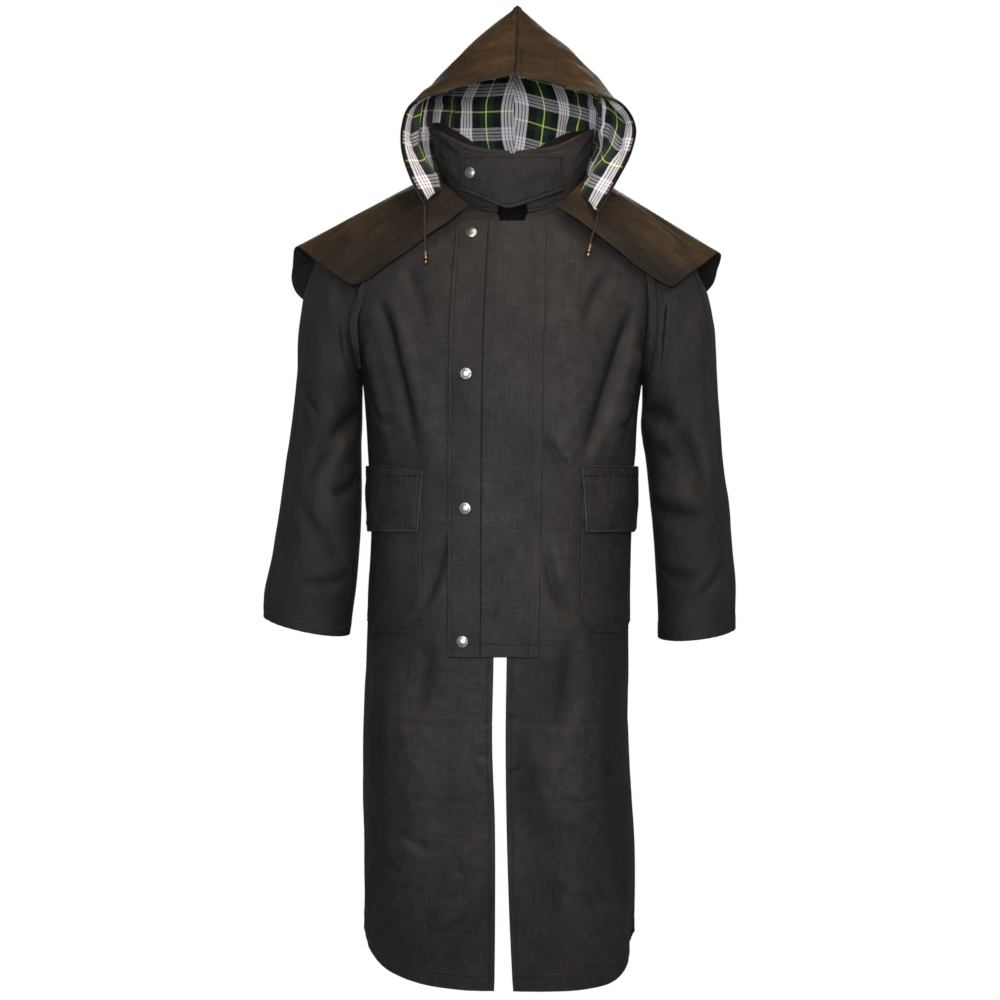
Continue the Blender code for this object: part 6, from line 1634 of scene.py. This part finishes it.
for side in (RIGHT, LEFT):
    w = WORD[side]
    ts = spots(HOOD_T, 0.0050, [HOOD_T - 0.004, HOOD_T - 0.009]) / HOOD_T
    ss = spots(HOOD_S, 0.0042, [HOOD_S - BRIM_BAND + 0.0022, 0.004, 0.009, HOOD_S - 0.0030]) / HOOD_S
    p = hood_points(side, ts, ss, 0.00005)
    away = p - np.array((HOOD_X, -0.02, 0.06))
    smm, tmm = np.meshgrid(ss, ts)
    sheet = Sheet(p, away, ts, ss, (1 - smm) * HOOD_S * side, tmm * HOOD_T)
    to = sheet.to
    still = ease(to["high"] / 0.03) * ease(to["start"] / 0.03) * ease(to["low"] / 0.03)
    lift = hood_lift(side, smm, tmm) * still * (0.35 + 0.65 * ease(to["end"] / 0.03))
    sheet.push(np.full(lift.shape, LIE / 2) + lift)
    # painted light and shade of the folds: ridges paler, hollows darker
    sheet.tone += fold_shading_and_wear(lift, 0.4)
    sheet.settle()
    # felled seam over the top and down the back, drawn-in tunnel along the brim
    for edge in ("high", "start"):
        sheet.seam(to[edge], 0.0009, 0.0022)
        sheet.push(0.0006 * hump(to[edge] - 0.0055, 0.0030))
        sheet.groove(to[edge], 0.0090, 0.0005, 0.0011)
    sheet.push(0.0010 * hump(to["end"] - 0.0070, 0.0050))
    sheet.groove(to["end"], BRIM_BAND - 0.0022, 0.0007, 0.0012)
    sheet.worn(to["end"], 0.0026, 0.9)
    sheet.settle()
    meet(sheet, side, ("high", "start"), p[..., 0])
    piece = shell(f"hood_{w}_cloth", f"hood_{w}", [sheet], HOOD_WALL, BROWN, free=("end", "low"), bulge=0.9)
    brim_s = np.array([float(np.interp(-(BRIM_BAND - 0.0022), -to["end"][k], ss)) for k in range(len(ts))])
    seam_t = float(np.interp(-0.0090, -to["high"][:, len(ss) // 2], ts))
    seam_s = np.array([float(np.interp(0.0090, to["start"][k], ss)) for k in range(len(ts))])
    lines = [sheet.line(ts[1:-3], brim_s[1:-3], HOOD_WALL, STITCH), sheet.line(np.full(200, seam_t), run(0.03, 0.985, 200), HOOD_WALL, STITCH),
             sheet.line(ts[1:-8], seam_s[1:-8], HOOD_WALL, STITCH)]
    sewn = stitching(f"stitching_hood_{w}", lines, THREAD_BROWN)

    ts2 = np.minimum(spots(HOOD_T, 0.0060, ends=False) / HOOD_T, 0.992)
    ss2 = np.clip(spots(HOOD_S, 0.0050, ends=False) / HOOD_S, 0.0004, 0.988)
    p = hood_points(side, ts2, ss2, 0.0001)
    tops = ease((ts2 - 0.965) / 0.027)
    p[..., 2] -= 0.0040 * tops[:, None]
    away = p - np.array((HOOD_X, -0.02, 0.06))
    smm, tmm = np.meshgrid(ss2, ts2)
    sheet = Sheet(p, away, ts2, ss2, (1 - smm) * HOOD_S, tmm * HOOD_T)
    to = sheet.to
    # the check runs along the brim, eased into the seam, and its crossbars climb towards the back
    sheet.s, sheet.h = to["end"] + 0.003 - EASED[side] * ease((to["end"] - 0.045) / 0.090), to["low"] + p[:1, :, 2] - CLIMB[side] * to["end"]
    still = ease(to["high"] / 0.03) * ease(to["start"] / 0.03) * ease(to["low"] / 0.03)
    lift = hood_lift(side, smm, tmm) * still * (0.35 + 0.65 * ease(to["end"] / 0.03))
    slack = 0.0040 * np.abs(noise(to["end"] / 0.030, to["low"] / 0.055, 231 + side))
    slack = slack + 0.0012 * np.abs(noise(to["end"] / 0.012, to["low"] / 0.020, 241 + side))
    for u, z, wide, tall, high in LINING_RIDGES[side]:
        slack = slack + high * hump(to["end"] - u - 0.10 * (p[..., 2] - z), wide) * hump(p[..., 2] - z, tall)
    edge = ease(to["high"] / 0.03) * ease(to["start"] / 0.012) * ease(to["low"] / 0.02) * ease(to["end"] / 0.02)
    sheet.push(np.minimum(lift, 0.0) - LIE / 2 - LINING_WALL - slack * edge)
    sheet.settle()
    # painted shade: the check is painted darker deep inside the hood, more on the right
    sheet.tone = -(0.58 if side == RIGHT else 0.40) * ease((to["end"] - 0.030) / 0.080)
    meet(sheet, side, ("high", "start"), p[..., 0])
    lining = shell(f"hood_lining_{w}_cloth", f"hood_lining_{w}", [sheet], LINING_WALL, TARTAN[side], bulge=0.4)

# ------------------------------------------------------------------ press studs
CAP = [(0.0, 0.0), (0.0076, 0.0), (0.0081, 0.0002), (0.0083, 0.0006), (0.0082, 0.0010), (0.0078, 0.0013), (0.0070, 0.00145),
       (0.0066, 0.00145), (0.0062, 0.0017), (0.0054, 0.0022), (0.0042, 0.0026), (0.0026, 0.0029), (0.0012, 0.0030), (0.0, 0.0030)]
SNAPS = Table("n x z", [(0, -0.0455, -0.0605), (1, -0.0535, -0.2670), (2, -0.0545, -0.4620), (3, -0.0585, -0.6550)])
for i in range(4):
    x, z = SNAPS.data["x"][i], SNAPS.data["z"][i]
    a = (x - float(PLACKET.at(z, "left_x"))) / (float(PLACKET.at(z, "right_x")) - float(PLACKET.at(z, "left_x")))
    at, n = placket_sheet.line(np.array([z]), np.array([a]), DOUBLE, 0.0005)
    turned(f"stud_{i + 1}_cap", CAP, 40, NICKEL, at[0], n[0], f"stud_{i + 1}")
x, z = TAB_SNAP
a = (x - TAB["left"]) / tab_wide
column = [float(np.interp(z, tab_p[:, k, 2], rows_)) for k, rows_ in ((int(np.argmin(np.abs(tab_sheet.cols - a))), tab_sheet.rows),)][0]
at, n = tab_sheet.line(np.array([column]), np.array([a]), DOUBLE, 0.0005)
turned("stud_tab_cap", CAP, 40, NICKEL, at[0], n[0], "stud_tab")

# ------------------------------------------------------------------ stage
floor_mesh = bpy.data.meshes.new("floor")
floor_mesh.from_pydata([(1.28 * math.cos(a), 1.28 * math.sin(a), -1.60) for a in np.linspace(0, 2 * math.pi, 97)[:-1]], [], [tuple(range(96))])
floor = bpy.data.objects.new("floor", floor_mesh)
scene.collection.objects.link(floor)
pale = Shader("pale_floor")
grain = pale.noise(pale.place((6, 6, 6)), detail=2)
pale.finish(pale.ramp(grain, [(0.3, (0.78, 0.78, 0.78)), (0.7, (0.82, 0.82, 0.82))]), 0.9, specular=0.1)
floor_mesh.materials.append(pale.mat)

world = bpy.data.worlds.new("studio")
world.use_nodes = True
tree = world.node_tree
light = tree.nodes["Background"]
light.inputs[0].default_value = (1, 1, 1, 1)
light.inputs[1].default_value = 0.14
sky = tree.nodes.new("ShaderNodeBackground")
sky.inputs[0].default_value = (1, 1, 1, 1)
sky.inputs[1].default_value = 1.0
path = tree.nodes.new("ShaderNodeLightPath")
both = tree.nodes.new("ShaderNodeMixShader")
tree.links.new(path.outputs["Is Camera Ray"], both.inputs[0])
tree.links.new(light.outputs[0], both.inputs[1])
tree.links.new(sky.outputs[0], both.inputs[2])
tree.links.new(both.outputs[0], tree.nodes["World Output"].inputs["Surface"])
scene.world = world

LIGHTS = [  # name, place, aim, width, spread in degrees, watts, colour
    ("key", (0.85, -1.90, 0.95), (0.04, 0.0, -0.15), 0.85, 180, 34, (1.0, 0.93, 0.85)),
    ("front", (-0.15, -3.20, -0.05), (-0.01, 0.0, -0.34), 0.8, 46, 9.5, (0.98, 0.985, 1.0)),
    ("fill", (-1.7, -2.3, 0.0), (-0.08, 0.0, -0.50), 1.2, 180, 5, (0.95, 0.975, 1.0)),
    ("top", (0.30, -0.75, 2.1), (0.0, 0.0, 0.0), 0.9, 180, 42, (1.0, 0.84, 0.66)),
    ("behind", (0.3, 3.0, 1.0), (0.0, 0.0, -0.4), 1.6, 180, 95, (1.0, 1.0, 1.0)),
    ("side", (-3.0, 0.9, 0.6), (0.0, 0.0, -0.4), 1.5, 180, 19, (1.0, 1.0, 1.0)),
    ("other_side", (3.0, 0.9, 0.6), (0.0, 0.0, -0.4), 1.5, 180, 20, (1.0, 1.0, 1.0))]
for name, place, target, size, spread, watts, colour in LIGHTS:
    lamp = bpy.data.lights.new(name, "AREA")
    lamp.shape = "SQUARE"
    lamp.size = size
    lamp.spread = math.radians(spread)
    lamp.energy = watts
    lamp.color = colour
    obj = bpy.data.objects.new(name, lamp)
    obj.location = place
    obj.rotation_euler = (Vector(target) - Vector(place)).to_track_quat("-Z", "Y").to_euler()
    scene.collection.objects.link(obj)
scene.view_settings.view_transform = "Standard"
scene.view_settings.look = "None"

# ------------------------------------------------------------------ final update
bpy.context.view_layer.update()
